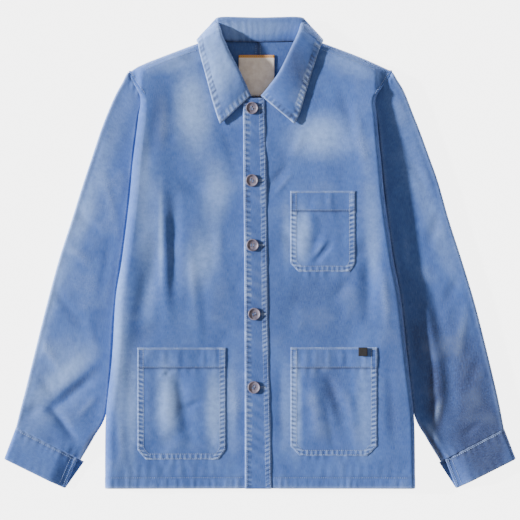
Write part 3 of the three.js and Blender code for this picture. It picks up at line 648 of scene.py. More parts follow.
def pocket_pull(pocket, x, y):
    """Puckers of a front just outside the sewn edges of a pocket."""
    left, right = pocket_sides(pocket, y)
    upright = between(y, pocket["bottom"] - PULL_INSIDE, pocket["bottom"] + PULL_INSIDE)
    upright = upright * (1 - between(y, pocket["top"] - 2, pocket["top"] + 8))
    pull = 0
    for edge, outwards, seed in ((left, -1, 31), (right, 1, 33)):
        away = (x - edge) * outwards
        beside = hump(np.maximum(0, away), PULL_BESIDE["reach"]) * between(away, -PULL_INSIDE, 1)
        wave = ripple(y + PULL_BESIDE["lean"] * x, PULL_BESIDE["wave"], seed)
        pull = pull + PULL_BESIDE["rise"] * beside * upright * wave
    below = pocket["bottom"] - y
    under = hump(np.maximum(0, below), PULL_BELOW["reach"]) * between(below, -PULL_INSIDE, 1)
    across = between(x, left, left + 6) * (1 - between(x, right - 6, right))
    return pull + PULL_BELOW["rise"] * under * across * ripple(x, PULL_BELOW["wave"], 35)


def front_detail(side, x, y):
    """Creases, puckers and the soft unevenness of a front, over its main folds."""
    detail = fold_rise(FRONT_CREASES, x, y) + uneven(x, y, *FRONT_UNEVEN)
    for up, reach, rows in HEM_RIPPLES:
        detail = detail + hump(y - HEM_Y - up, reach) * ripples(x, *rows)
    detail = detail + ARMHOLE_RISE * armhole_puckers(x, y)
    for pocket in POCKETS.values():
        if pocket["side"] == side:
            detail = detail + pocket_pull(pocket, x, y)
    return detail


def front_fine(side, x, y):
    """Middle layer of a front with all its folds and creases."""
    return front_height(side, x, y) + front_detail(side, x, y)


def grid_normals(grid, facing, wrap):
    """Unit normals of a grid of points; a wrapped grid joins its last column to its first."""
    if wrap:
        across = np.roll(grid, -1, axis=1) - np.roll(grid, 1, axis=1)
    else:
        across = np.gradient(grid, axis=1)
    along = np.gradient(grid, axis=0)
    normal = np.cross(across, along)
    length = np.linalg.norm(normal, axis=2, keepdims=True)
    return facing * normal / np.maximum(length, 1e-9)


def grid_quads(rows, columns, wrap):
    ids = np.arange(rows * columns).reshape(rows, columns)
    if wrap:
        ids = np.concatenate([ids, ids[:, :1]], axis=1)
    return np.stack([ids[:-1, :-1], ids[:-1, 1:], ids[1:, 1:], ids[1:, :-1]], axis=-1).reshape(-1, 4)


def grid_borders(rows, columns, wrap):
    """Loops of border points and, for each, the neighbour one step inside."""
    ids = np.arange(rows * columns).reshape(rows, columns)
    if wrap:
        return [(ids[0], ids[1]), (ids[-1][::-1], ids[-2][::-1])]
    loop = np.concatenate([ids[0, :-1], ids[:-1, -1], ids[-1, :0:-1], ids[:0:-1, 0]])
    inner = np.concatenate([ids[1, :-1], ids[:-1, -2], ids[-2, :0:-1], ids[:0:-1, 1]])
    return [(loop, inner)]


def new_mesh(name, points, faces, attributes):
    """A smooth mesh object, points in millimetres, with its float and vector attributes."""
    mesh = bpy.data.meshes.new(name)
    mesh.from_pydata((points * MM).tolist(), [], faces)
    for key, values in attributes.items():
        values = np.asarray(values, float)
        kind = "FLOAT" if values.ndim == 1 else "FLOAT_VECTOR"
        layer = mesh.attributes.new(key, kind, "POINT")
        layer.data.foreach_set("value" if kind == "FLOAT" else "vector", values.ravel())
    mesh.shade_smooth()
    mesh.update()
    piece = bpy.data.objects.new(name, mesh)
    bpy.context.scene.collection.objects.link(piece)
    return piece


def shell(name, grid, thickness, looks, facing=1, wrap=False):
    """A sheet of cloth with both faces and rounded edges, about the middle layer that the grid gives.

    looks holds an array for each attribute, with a value for each point of the grid.
    """
    rows, columns = grid.shape[:2]
    normal = grid_normals(grid, facing, wrap)
    reach = np.broadcast_to(np.asarray(thickness, float), (rows, columns))[..., None] / 2
    upper = (grid + normal * reach).reshape(-1, 3)
    lower = (grid - normal * reach).reshape(-1, 3)
    count = rows * columns
    quads = grid_quads(rows, columns, wrap)
    if facing < 0:
        quads = quads[:, ::-1]
    points = [upper, lower]
    faces = [quads, quads[:, ::-1] + count]
    sources = [np.arange(count), np.arange(count)]
    middle = grid.reshape(-1, 3)
    start = 2 * count
    for loop, inner in grid_borders(rows, columns, wrap):
        if facing < 0:
            loop = loop[::-1]
            inner = inner[::-1]
        outwards = middle[loop] - middle[inner]
        outwards = outwards / np.maximum(np.linalg.norm(outwards, axis=1, keepdims=True), 1e-9)
        rim = middle[loop] + outwards * (2 * reach.reshape(-1, 1)[loop] * ROUND_EDGE)
        rim_ids = start + np.arange(len(loop))
        a, b = loop, np.roll(loop, -1)
        rim_a, rim_b = rim_ids, np.roll(rim_ids, -1)
        faces.append(np.stack([b, a, rim_a, rim_b], axis=-1))
        faces.append(np.stack([rim_b, rim_a, a + count, b + count], axis=-1))
        points.append(rim)
        sources.append(loop)
        start += len(loop)
    source = np.concatenate(sources)
    attributes = {
        key: np.asarray(values, float).reshape(count, *np.shape(values)[2:])[source]
        for key, values in looks.items()
    }
    return new_mesh(name, np.concatenate(points), np.concatenate(faces).tolist(), attributes)


# Fades and painted light: centre, half sizes, turn in degrees and strength of each pale or dark area. Pale
# areas are wash fading, and some are painted highlights on ridges and edges that face the light; dark areas
# are painted shade on cloth in shadow and on cloth turned away from the light.
FADE_NAMES = "x y along across turn strength"
# Front: the dark areas are painted shade, most over the right half and by the left shoulder; the narrow pale
# strips down the left side and along the crease near x -158 are painted highlights.
FRONT_FADES_AND_PAINTED_LIGHT = table(
    FADE_NAMES,
    (-106, 222, 62, 27, 95, 0.85),
    (-160, 218, 58, 14, 90, -0.45),
    (-72, 84, 52, 22, 86, 0.6),
    (-92, -14, 44, 27, 78, 0.65),
    (-158, 26, 72, 4, 90, 0.5),
    (99, 185, 46, 34, 0, 0.7),
    (67, 22, 52, 15, 90, 0.85),
    (43, 20, 60, 9, 90, 0.45),
    (-146, -240, 55, 20, 90, 0.4),
    (-72, -255, 62, 14, 90, 0.75),
    (-46, -250, 70, 8, 90, 0.35),
    (-150, -240, 70, 16, 90, 0.3),
    (-203, -240, 80, 9, 90, 0.55),
    (58, -240, 80, 10, 90, 0.6),
    (40, -240, 70, 9, 90, 0.3),
    (168, -240, 80, 18, 90, 0.4),
    (214, -200, 150, 26, 90, -0.35),
    (214, 30, 150, 20, 92, -0.15),
    (-226, -170, 130, 10, 92, 0.4),
    (150, 300, 50, 18, -20, 0.35),
    (-130, 306, 50, 14, 20, 0.35),
    (-186, 120, 120, 10, 88, 0.4),
    (-222, 0, 330, 9, 92, 0.3),
    (180, 40, 120, 14, 93, 0.35),
    (-176, -20, 120, 12, 88, 0.25),
    (90, -80, 90, 70, 0, -0.42),
    (110, -240, 70, 36, 90, -0.5),
    (-2, 0, 330, 15, 90, -0.25),
    (100, 90, 50, 60, 0, -0.12),
    (40, 250, 60, 40, 0, -0.2),
    (-60, -60, 120, 30, 90, -0.15),
    (-190, 210, 70, 14, 90, -0.15),
)
# Collar: the dark areas on the right leaf are painted shade; the pale area on the left leaf is wash fading
# with a painted highlight where the leaf faces the light.
COLLAR_FADES_AND_PAINTED_LIGHT = table(
    FADE_NAMES,
    (-66, 290, 60, 26, 70, 0.8),
    (-92, 330, 50, 20, 60, 0.5),
    (0, 360, 60, 14, 0, 0.5),
    (66, 292, 55, 16, -65, -0.35),
    (96, 270, 40, 10, -65, 0.2),
    (62, 284, 58, 26, -70, -0.35),
)
# Sleeves: the dark areas are painted shade, over the lower right sleeve and its cuff, along the right sleeve
# beside the body, in the left sleeve's crease and in the slits above the cuffs; the pale strip beside that
# crease is a painted highlight.
SLEEVE_FADES_AND_PAINTED_LIGHT = table(
    FADE_NAMES,
    (-300, -218, 48, 7, 40, -0.8),
    (-290, -180, 50, 30, 40, 0.25),
    (-330, -180, 60, 30, 60, 0.2),
    (345, -230, 90, 22, -76, -0.4),
    (-312, -196, 55, 13, 40, 0.45),
    (-274, -302, 24, 4, 59, -0.9),
    (278, -307, 34, 3.5, -58, -0.9),
    (282, -240, 50, 9, -86, -0.8),
    (334, -236, 60, 14, -80, -0.5),
    (-262, 130, 120, 18, 68, 0.35),
    (-300, 20, 110, 18, 68, 0.4),
    (-350, -110, 120, 16, 76, 0.4),
    (-350, -240, 60, 30, 60, 0.35),
    (240, 200, 60, 16, -62, 0.18),
    (262, 90, 120, 16, -70, 0.26),
    (306, -20, 90, 18, -72, 0.12),
    (330, -220, 130, 60, -76, -0.75),
    (360, -320, 60, 60, 0, -0.7),
    (258, -150, 120, 30, -80, -0.3),
    (-240, -60, 120, 16, 78, -0.2),
)


def fade_and_painted_light_at(fade_and_light_rows, x, y):
    """How pale washing and painted highlights make the cloth at a place: about 1 at most, and below 0 where
    painted shade darkens it.
    """
    total = np.zeros(np.broadcast(x, y).shape)
    for fx, fy, along, across, turn, strength in zip(*(fade_and_light_rows[name] for name in FADE_NAMES.split())):
        angle = math.radians(turn)
        dx = x - fx
        dy = y - fy
        u = (dx * math.cos(angle) + dy * math.sin(angle)) / along
        v = (dy * math.cos(angle) - dx * math.sin(angle)) / across
        total = total + strength * np.exp(-((u * u + v * v) ** 1.3))
    return total


def cloth_looks(x, y, relief, fade_and_light_rows, cloth=None, wear=0, dark=0):
    """The attributes that the twill reads: how faded the cloth is, with painted highlights; wear; how dark it
    is, with painted shade; and the cloth's own directions.
    """
    shape = np.broadcast(x, y).shape
    cloth_x, cloth_y = (x, y) if cloth is None else cloth
    patch = 0.5 + 0.5 * noise_field(x, y, 46, 61)
    tone = fade_and_painted_light_at(fade_and_light_rows, x, y) * (0.75 + 0.5 * patch) + 0.06 * noise_field(x, y, 60, 62)
    # pale from wash fading and from painted highlights
    fade_and_highlight = clamp01(tone)
    worn = clamp01(0.16 * np.maximum(relief, 0) ** 1.2 + wear)
    # darker in the hollows of the relief and where marks are given, and painted shade where the table's tone
    # is below zero
    deep = clamp01(0.22 * np.maximum(-relief, 0) ** 1.1 + dark + np.maximum(-tone, 0))
    directions = np.zeros((*shape, 3))
    directions[..., 0] = np.broadcast_to(cloth_x, shape) * MM
    directions[..., 1] = np.broadcast_to(cloth_y, shape) * MM
    return {
        "fade_and_highlight": np.broadcast_to(fade_and_highlight, shape),
        "wear": np.broadcast_to(worn, shape),
        "dark": np.broadcast_to(deep, shape),
        "cloth": directions,
    }


def steps_between(start, end, size, end_point=False):
    count = max(1, int(math.ceil(abs(end - start) / size)))
    return np.linspace(start, end, count + 1)[: count + 1 if end_point else count]


def roll_radius(side, y):
    height = read(BODY, "side", y)
    return mix((height - CLOTH - GAP - HALF) / 2, ARMHOLE_RADIUS, between(y, ARMPIT_Y, ARMHOLE_Y))


def roll_reach(side, y):
    """How far the roll at a front's side reaches across: less than its radius, for a tall narrow roll."""
    return roll_radius(side, y) * mix(ROLL_NARROWING[side], 1, between(y, ARMPIT_Y, ARMHOLE_Y))


def front_grid(side):
    """Middle layer of a front: its flat part by columns and rows, then the roll at its side."""
    columns = COLUMNS[side]
    last = len(columns["low"])
    corner = SHOULDER_CORNER[side]
    knots = np.append(np.abs(columns["low"]), FRONT_HALF_WIDTH)
    places = np.concatenate(
        [i + steps_between(0, 1, FRONT_STEP / abs(knots[i + 1] - knots[i])) for i in range(last)]
    )
    index = np.arange(last + 1)
    low_y = steps_between(HEM_Y, TOP_START, FRONT_STEP)
    top_share = steps_between(0, 1, FRONT_STEP / FRONT_LENGTH, end_point=True)
    row_y = np.concatenate([low_y, np.full(len(top_share), TOP_START)])[:, None]
    share = np.concatenate([np.zeros(len(low_y)), top_share])[:, None]
    edge_y = np.where(share > 0, mix(TOP_START, corner, share), row_y)
    edge_x = side_fold(side, edge_y) - side * (HALF + roll_reach(side, edge_y))
    start_edge = side_fold(side, TOP_START) - side * (HALF + roll_reach(side, TOP_START))
    end_edge = side_fold(side, corner) - side * (HALF + roll_reach(side, corner))

    def along_columns(values, end):
        return np.interp(places, index, np.append(values, end))[None, :]

    chest0 = columns["chest"][0]
    top0 = columns["top_x"][0]
    low_share = between(row_y, LOW_COLUMNS_END, CHEST_COLUMNS_START)
    flat_share = np.clip(places - (last - 1), 0, 1)[None, :]
    low_x = np.interp(places, index[:-1], columns["low"])[None, :]
    chest_x = np.interp(places, index[:-1], columns["chest"])[None, :]
    body_x = mix(mix(low_x, chest_x, low_share), edge_x, flat_share)
    start_share = along_columns((columns["chest"] - chest0) / (start_edge - chest0), 1)
    end_share = along_columns((columns["top_x"] - top0) / (end_edge - top0), 1)
    inner = mix(chest0, top0, share)
    top_x = inner + mix(start_share, end_share, share) * (edge_x - inner)
    top_y = mix(TOP_START, along_columns(columns["top_y"], corner), share)
    x = np.where(share > 0, top_x, body_x)
    y = np.where(share > 0, top_y, np.broadcast_to(row_y, body_x.shape))
    if side == LEFT:
        seam_x = read(PLACKET, "seam", y) + GAP
        near = clamp01(1 - places)[None, :]
        x = x + (seam_x - x[:, :1]) * near
    height = front_height(side, x, y)
    detail = front_detail(side, x, y)
    seam_height = back_height(x, y) + CLOTH + GAP
    to_shoulder = (1 - share) * (along_columns(columns["top_y"], corner) - TOP_START)
    drop = edge_drop(to_shoulder, height - seam_height) * along_columns(columns["drop"], 1)
    flat = np.stack([x, y, height + detail - drop], axis=-1)

    radius = roll_radius(side, edge_y)
    edge_seam = back_height(edge_x, edge_y) + CLOTH + GAP
    full = front_height(side, edge_x, edge_y)
    top = full - edge_drop((1 - share) * (corner - TOP_START), full - edge_seam)
    turn = mix(ROLL_ANGLE, ARMHOLE_ANGLE, between(edge_y, ARMPIT_Y, ARMHOLE_Y))
    step = np.arange(ROLL_STEPS + 1)[None, :] / ROLL_STEPS
    angle = turn * step
    edge_detail = front_detail(side, edge_x, edge_y) * (1 - step) ** 2
    roll_z = np.maximum(edge_seam, top - radius * (1 - np.cos(angle)) + edge_detail)
    roll_x = edge_x + side * roll_reach(side, edge_y) * np.sin(angle)
    roll = np.stack([roll_x, np.broadcast_to(edge_y, roll_x.shape), roll_z], axis=-1)
    grid = np.concatenate([flat, roll], axis=1)
    relief = np.concatenate([detail, np.broadcast_to(edge_detail, roll_x.shape)], axis=1)
    return grid, relief


def make_front(side):
    grid, relief = front_grid(side)
    x, y = grid[..., 0], grid[..., 1]
    up = y - HEM_Y
    in_hem = (1 - between(up, HEM_DEPTH - 3, HEM_DEPTH + 1)) * (np.abs(x) > BODY_FLAT_HALF)
    wear = 0.35 * hump(up, 3)
    dark = 0.3 * hump(up - HEM_DEPTH, 2.4)
    looks = cloth_looks(x, y, relief, FRONT_FADES_AND_PAINTED_LIGHT, wear=wear, dark=dark)
    return shell(f"front_{side_name(side)}_cloth", grid, CLOTH + HEM_EXTRA * in_hem, looks, facing=side)


def pocket_grid(pocket):
    """Middle layer of a patch pocket over its front, with its band, turned edges and puckers."""
    bottom, top, band = pocket["bottom"], pocket["top"], pocket["band"]
    y = steps_between(bottom, top, POCKET_STEP, end_point=True)[:, None]
    left, right = pocket_sides(pocket, y)
    u = np.linspace(0, 1, int((pocket["x1"] - pocket["x0"]) / POCKET_STEP) + 1)[None, :]
    x = mix(left, right, u)
    y = y + 0 * x
    puff = pocket["puff"] * np.sin(np.pi * (y - bottom) / (top - bottom)) * np.sin(np.pi * u)
    corner = pocket["chamfer_y"] - bottom
    cut = corner / np.hypot(corner, pocket["chamfer_x0"] - pocket["x0"])
    from_side = np.minimum(x - left, right - x) * mix(1, cut, clamp01((pocket["chamfer_y"] - y) / 4))
    from_edge = np.minimum(from_side, y - bottom)
    in_band = np.clip(1 - ((2 * y - band - top) / (top - band)) ** 2, 0, 1)
    below_band = 1 - 0.6 * between(y, band - 4, band + 2)
    under_band = hump(band - y, POCKET_UNDER_BAND) * (y < band)
    seed = 200 + abs(int(pocket["x1"]))
    sides = ladder(y + 0.25 * from_side, from_side, POCKET_SIDE_WAVE, seed) * below_band
    sides = sides + 0.35 * ripple(y, 9, seed + 3) * hump(from_side, 15)
    foot = ladder(x, y - bottom, POCKET_FOOT_WAVE, seed + 5)
    waves = 0.5 * sides + 0.3 * foot
    waves = waves + ripples(x, (0.3, 21, seed + 7), (0.2, 12, seed + 8)) * in_band
    waves = waves + 0.35 * ripple(x + 3, 18, seed + 9) * under_band
    folds = fold_rise(POCKET_CREASES, x, y) + uneven(x, y, *POCKET_UNEVEN)
    relief = waves + folds * between(from_edge, 4, 20)
    turned = (1 - between(from_edge, 6.5, 10)) * between(from_edge, 0, 3)
    extra = POCKET_TURNED_EXTRA * turned + POCKET_BAND_EXTRA * between(y, band - 1, band + 1)
    z = front_fine(pocket["side"], x, y) + HALF + POCKET_LIFT + POCKET_CLOTH / 2
    z = z + puff + extra + np.maximum(relief, -0.2 - puff)
    return np.stack([x, y, z], axis=-1), relief, from_edge


def make_pocket(name):
    pocket = POCKETS[name]
    grid, relief, from_edge = pocket_grid(pocket)
    x, y = grid[..., 0], grid[..., 1]
    near = from_edge < 10
    wear = 0.45 * hump(from_edge, 1.3) + 0.5 * hump(pocket["top"] - y, 2)
    wear = wear * broken(x, y, 0.6, 5, 53) + 1.2 * np.maximum(relief, 0) * near
    near_row, far_row = POCKET_ROWS
    rows = hump(from_edge - far_row, 1.2) + hump(from_edge - near_row, 1.0)
    dark = 0.9 * hump(y - pocket["band"], 1.8) + 0.25 * rows + 1.1 * np.maximum(-relief, 0) * near
    looks = cloth_looks(x, y, relief, FRONT_FADES_AND_PAINTED_LIGHT, wear=wear, dark=dark)
    return shell(name + "_cloth", grid, POCKET_CLOTH, looks)


def make_placket():
    y = steps_between(HEM_Y, PLACKET_TOP, PLACKET_STEP, end_point=True)[:, None]
    free = read(PLACKET, "free", y)
    seam = read(PLACKET, "seam", y)
    x = mix(free, seam, np.linspace(0, 1, PLACKET_COLUMNS)[None, :])
    y = y + 0 * x
    from_free = x - free
    from_seam = seam - x
    middle = np.clip(1 - (np.abs(from_free - from_seam) / PLACKET_MIDDLE) ** 2, 0, 1)
    relief = 0.5 * ladder(y + 0.2 * x, from_free, 8, 81, 1.5, 10)
    relief = relief + 0.5 * ladder(y - 0.4 * x, from_seam, 7, 83)
    relief = relief + 0.35 * ripple(y + 0.6 * x, 21, 89) * middle + uneven(x, y, (0.35, 22, 85))
    pad = PLACKET_PAD * (1 - between(np.minimum(from_free, from_seam), 6, 9))
    z = centre_height(y) + HALF + GAP + PLACKET_CLOTH / 2 + relief + pad
    near = (from_free < 11) | (from_seam < 10)
    wear = (0.4 * hump(from_free, 1.2) + 0.3 * hump(from_seam, 1.3)) * broken(x, y, 0.7, 8, 87)
    wear = wear + 0.5 * np.maximum(relief, 0) * near
    dark = 0.35 * hump(from_seam - 3, 1.6) + 0.45 * hump(from_free - 3.6, 1.4)
    dark = dark + 0.8 * np.maximum(-relief, 0) * near
    looks = cloth_looks(x, y, relief, FRONT_FADES_AND_PAINTED_LIGHT, wear=wear, dark=dark)
    return shell("placket_cloth", np.stack([x, y, z], axis=-1), PLACKET_CLOTH, looks)


def sleeve_frame(side, rows):
    """Fold points, height and how far the inner fold hangs free, at fractional rows of the sleeve table."""
    numbered = {**SLEEVES[side], "row": np.arange(len(SLEEVES[side]["top"]), dtype=float)}
    values = {key: read(numbered, key, rows, "row") for key in SLEEVE_NAMES.split()}
    bulge = SLEEVE_HEAD_BULGE * hump(rows, 0.3)
    values["out_x"] = values["out_x"] + side * bulge
    values["out_y"] = values["out_y"] + 0.5 * bulge
    values["in_x"] = values["in_x"] - side * SLEEVE_ARMPIT_TUCK * hump(rows, 0.9)
    return values


def round_tube(upper, under):
    """Values of a flattened tube's upper side, then of its under side on the way back."""
    return np.concatenate([upper, under[:, ::-1]], axis=1)


def make_sleeve(side):
    """A sleeve as one flattened tube, its upper and under sides meeting at the two folds."""
    last = len(SLEEVES[side]["top"]) - 1
    rows = np.linspace(0, last, int(SLEEVE_LENGTH / SLEEVE_STEP))[:, None]
    at = sleeve_frame(side, rows)
    even = (np.arange(SLEEVE_ACROSS) + 0.5) / SLEEVE_ACROSS
    place = mix((1 - np.cos(np.pi * even)) / 2, even, SLEEVE_EVENNESS)[None, :]
    width = np.hypot(at["out_x"] - at["in_x"], at["out_y"] - at["in_y"])
    distance = HALF + place * (width - CLOTH)
    share = distance / width
    x = mix(at["in_x"], at["out_x"], share)
    y = mix(at["in_y"], at["out_y"], share)
    hung = clamp01(at["hung"])

    def drop(radius):
        inner = edge_drop((distance - HALF) * SLEEVE_EDGE_SHARPNESS, radius) * hung
        outer = edge_drop((width - distance - HALF) * SLEEVE_EDGE_SHARPNESS, radius)
        return np.maximum(inner, outer)

    inside = between(distance, 0, 16) * between(width - distance, 0, 16)
    along = rows * SLEEVE_ROW_LENGTH
    to_cuff = (last - rows) * SLEEVE_ROW_LENGTH
    gathers = hump(to_cuff, 16) * ripple(distance, 15, 105)
    easing = hump(along, 14) * ripple(distance, 12, 107)
    outer_line = hump(width - distance - 7, 4) * (0.6 + 0.4 * noise_line(along, 60, 103))
    relief = fold_rise(SLEEVE_CREASES, x, y) + uneven(x, y, *SLEEVE_UNEVEN)
    relief = relief - 0.7 * outer_line + 0.9 * gathers + 0.5 * easing
    middle = at["top"] / 2
    under_z = HALF + drop(middle - SLEEVE_FOLD_GAP - HALF)
    upper_z = at["top"] - drop(middle) + fold_rise(SLEEVE_FOLDS, x, y) + relief * inside
    cuff_top = mix(CUFF_LAP_SEAM_HEIGHT + DOUBLED_HALF, CUFF_TOP, between(share, 0, CUFF_LAP_END))
    at_cuff = between(rows, last - 0.9, last)
    upper_z = mix(upper_z, np.minimum(upper_z, cuff_top - HALF + 0.4 * gathers * inside), at_cuff)
    upper_z = np.maximum(upper_z, under_z + CLOTH + 0.4)
    grid = round_tube(np.stack([x, y, upper_z], axis=-1), np.stack([x, y, under_z], axis=-1))
    grid[0] = tuck_under_front(grid, share[0], under_z[0])
    relief = round_tube(relief * inside, 0 * relief)
    gx, gy = grid[..., 0], grid[..., 1]
    cloth = (round_tube(distance, distance), np.broadcast_to(along, gx.shape))
    edge = hump(np.minimum(distance, width - distance), 5)
    wear = 0.4 * round_tube(edge, edge) * broken(gx, gy, 0.7, 16, 109)
    looks = cloth_looks(gx, gy, relief, SLEEVE_FADES_AND_PAINTED_LIGHT, cloth=cloth, wear=wear)
    return shell(f"sleeve_{side_name(side)}_cloth", grid, CLOTH, looks, facing=-side, wrap=True)


def tuck_under_front(grid, share, under_z):
    """The sleeve's first row, moved up the arm and down so that it goes in under the front."""
    along_arm = grid[0] - grid[2]
    along_arm[:, 2] = 0
    along_arm /= np.linalg.norm(along_arm, axis=1, keepdims=True)
    round_share = np.concatenate([share, share[::-1]])
    tucked = grid[0] + along_arm * SLEEVE_TUCK * between(round_share, -0.15, 0.06)[:, None]
    upper = tucked[:SLEEVE_ACROSS, 2]
    tucked[:SLEEVE_ACROSS, 2] = np.maximum(upper - SLEEVE_TUCK_DROP, under_z + CLOTH + 0.3)
    return tucked


def cuff_corners(side):
    return {name: np.array(place, float) for name, place in zip(CUFF_NAMES.split(), CUFFS[side])}


def make_cuff(side):
    cuff = cuff_corners(side)
    down = np.linspace(0, 1, int(CUFF_DEPTH / CUFF_STEP))[:, None]
    outer = mix(cuff["seam_out"], cuff["mouth_out"], down[..., None])
    inner = mix(cuff["seam_in"], cuff["mouth_in"], down[..., None])
    width = np.linalg.norm(outer - inner, axis=2)
    radius = (CUFF_TOP - DOUBLED) / 2
    fold_share = 1 - (DOUBLED_HALF + radius) / width
    upper_share = np.linspace(0, 1, CUFF_UPPER_COLUMNS, endpoint=False)
    angle = np.linspace(0, np.pi, CUFF_FOLD_COLUMNS)
    under_share = np.linspace(1, 0, CUFF_UNDER_COLUMNS)[1:]
    shares = np.concatenate(
        [
            upper_share * fold_share,
            fold_share + radius * np.sin(angle) / width,
            under_share * fold_share,
            -mix(CUFF_UNDERLAP_SEAM, CUFF_UNDERLAP_MOUTH, down),
        ],
        axis=1,
    )
    heights = np.concatenate(
        [
            np.zeros(len(upper_share)),
            DOUBLED_HALF + radius + radius * np.cos(angle),
            np.full(len(under_share) + 1, DOUBLED_HALF),
        ]
    )
    on_top = np.concatenate(
        [np.ones(len(upper_share)), np.linspace(1, 0, len(angle)), np.zeros(len(under_share) + 1)]
    )[None, :]
    plan = mix(inner, outer, shares[..., None])
    along = shares * width
    below = down * CUFF_DEPTH
    near_seam = hump(below, 13)
    near_mouth = hump(CUFF_DEPTH - below, 13)
    relief = 0.6 * near_seam * ripple(along, 12, 121) + 0.15 * near_mouth * ripple(along, 14, 123)
    relief = (relief + uneven(along, below, (0.4, 20, 125))) * on_top
    z = heights[None, :] + 0 * down
    lap = mix(CUFF_LAP_SEAM_HEIGHT, DOUBLED + GAP + DOUBLED_HALF, down)
    raised = between(upper_share, 0, CUFF_LAP_END)[None, :]
    z[:, : len(upper_share)] = mix(lap, CUFF_TOP - DOUBLED_HALF, raised)
    grid = np.concatenate([plan, (z + relief)[..., None]], axis=2)
    wear = 0.12 * hump(CUFF_DEPTH - below, 2.6) + 0.35 * hump(below, 2.2) + 0.1 * hump(along, 2.4) * on_top
    wear = wear * broken(along, below, 0.7, 8, 127)
    dark = 0.35 * hump(below - 5, 2) + 0.5 * np.maximum(-relief, 0) * near_seam
    cloth = (below + 0 * along, along)
    looks = cloth_looks(grid[..., 0], grid[..., 1], relief, SLEEVE_FADES_AND_PAINTED_LIGHT, cloth=cloth, wear=wear, dark=dark)
    return shell(f"cuff_{side_name(side)}_cloth", grid, DOUBLED, looks, facing=-side)


def make_back(side):
    seam_x = BACK_SEAM_X + side * GAP / 2
    u = np.linspace(0, 1, BACK_COLUMNS)[None, :]
    top_y = np.interp(np.abs(mix(seam_x, side * BACK_SHOULDER_X, u)), BACK_TOP["x"], BACK_TOP["y"])
    low_y = steps_between(BACK_HEM, ARMPIT_Y, BACK_STEP)
    share = np.concatenate([np.zeros(len(low_y)), np.linspace(0, 1, BACK_TOP_ROWS)])[:, None]
    row_y = np.concatenate([low_y, np.full(BACK_TOP_ROWS, float(ARMPIT_Y))])[:, None]
    y = mix(row_y, top_y, share)
    outer_y = mix(row_y, BACK_SHOULDER_Y, share)
    fold = side_fold(side, outer_y)
    hidden = between(outer_y, *BACK_HIDDEN)
    below = fold - side * mix(BACK_HEM_INSET, BACK_SIDE_INSET, hidden)
    armhole = side * np.minimum(BACK_SHOULDER_X, np.abs(fold) - 3)
    x = mix(seam_x, mix(below, armhole, between(outer_y, ARMPIT_Y, ARMHOLE_Y)), u)
    grid = np.stack([x, y, back_height(x, y)], axis=-1)
    # darker along the back seam, and painted shade all over, seen inside the neck
    dark = BACK_SEAM_DARK * hump(x - seam_x, 2.5) + BACK_NECK_PAINTED_SHADE
    looks = cloth_looks(x, y, 0 * x, FRONT_FADES_AND_PAINTED_LIGHT, dark=dark)
    return shell(f"back_{side_name(side)}_cloth", grid, CLOTH, looks, facing=side)


def run_length(points):
    """Distance along a line of points, from its start to each of them."""
    steps = np.linalg.norm(np.diff(points, axis=0), axis=1)
    return np.concatenate([[0], np.cumsum(steps)])


def collar_distances(grid):
    """How far each point of the collar lies from the neck seam and from the outer edge."""
    steps = np.linalg.norm(np.diff(grid, axis=1), axis=2)
    down = np.concatenate([np.zeros((len(grid), 1)), np.cumsum(steps, axis=1)], axis=1)
    return down, down[:, -1:] - down


def collar_stations():
    """The collar's table from the right front end to the left one, and the place of each row along it."""
    mirror = np.array([-1, 1, -1, 1, -1, 1, 1, 1])
    right = [np.array(row, float) for row in COLLAR_RIGHT_FRONT]
    right += [np.array(row, float) * mirror for row in COLLAR_BACK]
    left = [np.array(row, float) for row in COLLAR_BACK[::-1]]
    left += [np.array(row, float) for row in COLLAR_LEFT_FRONT[::-1]]
    rows = np.array([*right, np.array(COLLAR_CENTRE, float), *left])
    columns = {name: rows[:, i] for i, name in enumerate(COLLAR_NAMES.split())}
    columns["row"] = np.arange(len(rows), dtype=float)
    return columns


def smooth_profile(points, steps):
    """Points along curves through the given points, along axis 1."""
    count = points.shape[1]
    before = np.maximum(np.arange(count) - 1, 0)
    after = np.minimum(np.arange(count) + 1, count - 1)
    tangent = (points[:, after] - points[:, before]) / (after - before)[None, :, None]
    lines = []
    for i in range(count - 1):
        for t in np.arange(steps) / steps:
            lines.append(curve(t, points[:, i], points[:, i + 1], tangent[:, i], tangent[:, i + 1]))
    lines.append(points[:, -1])
    return np.stack(lines, axis=1)


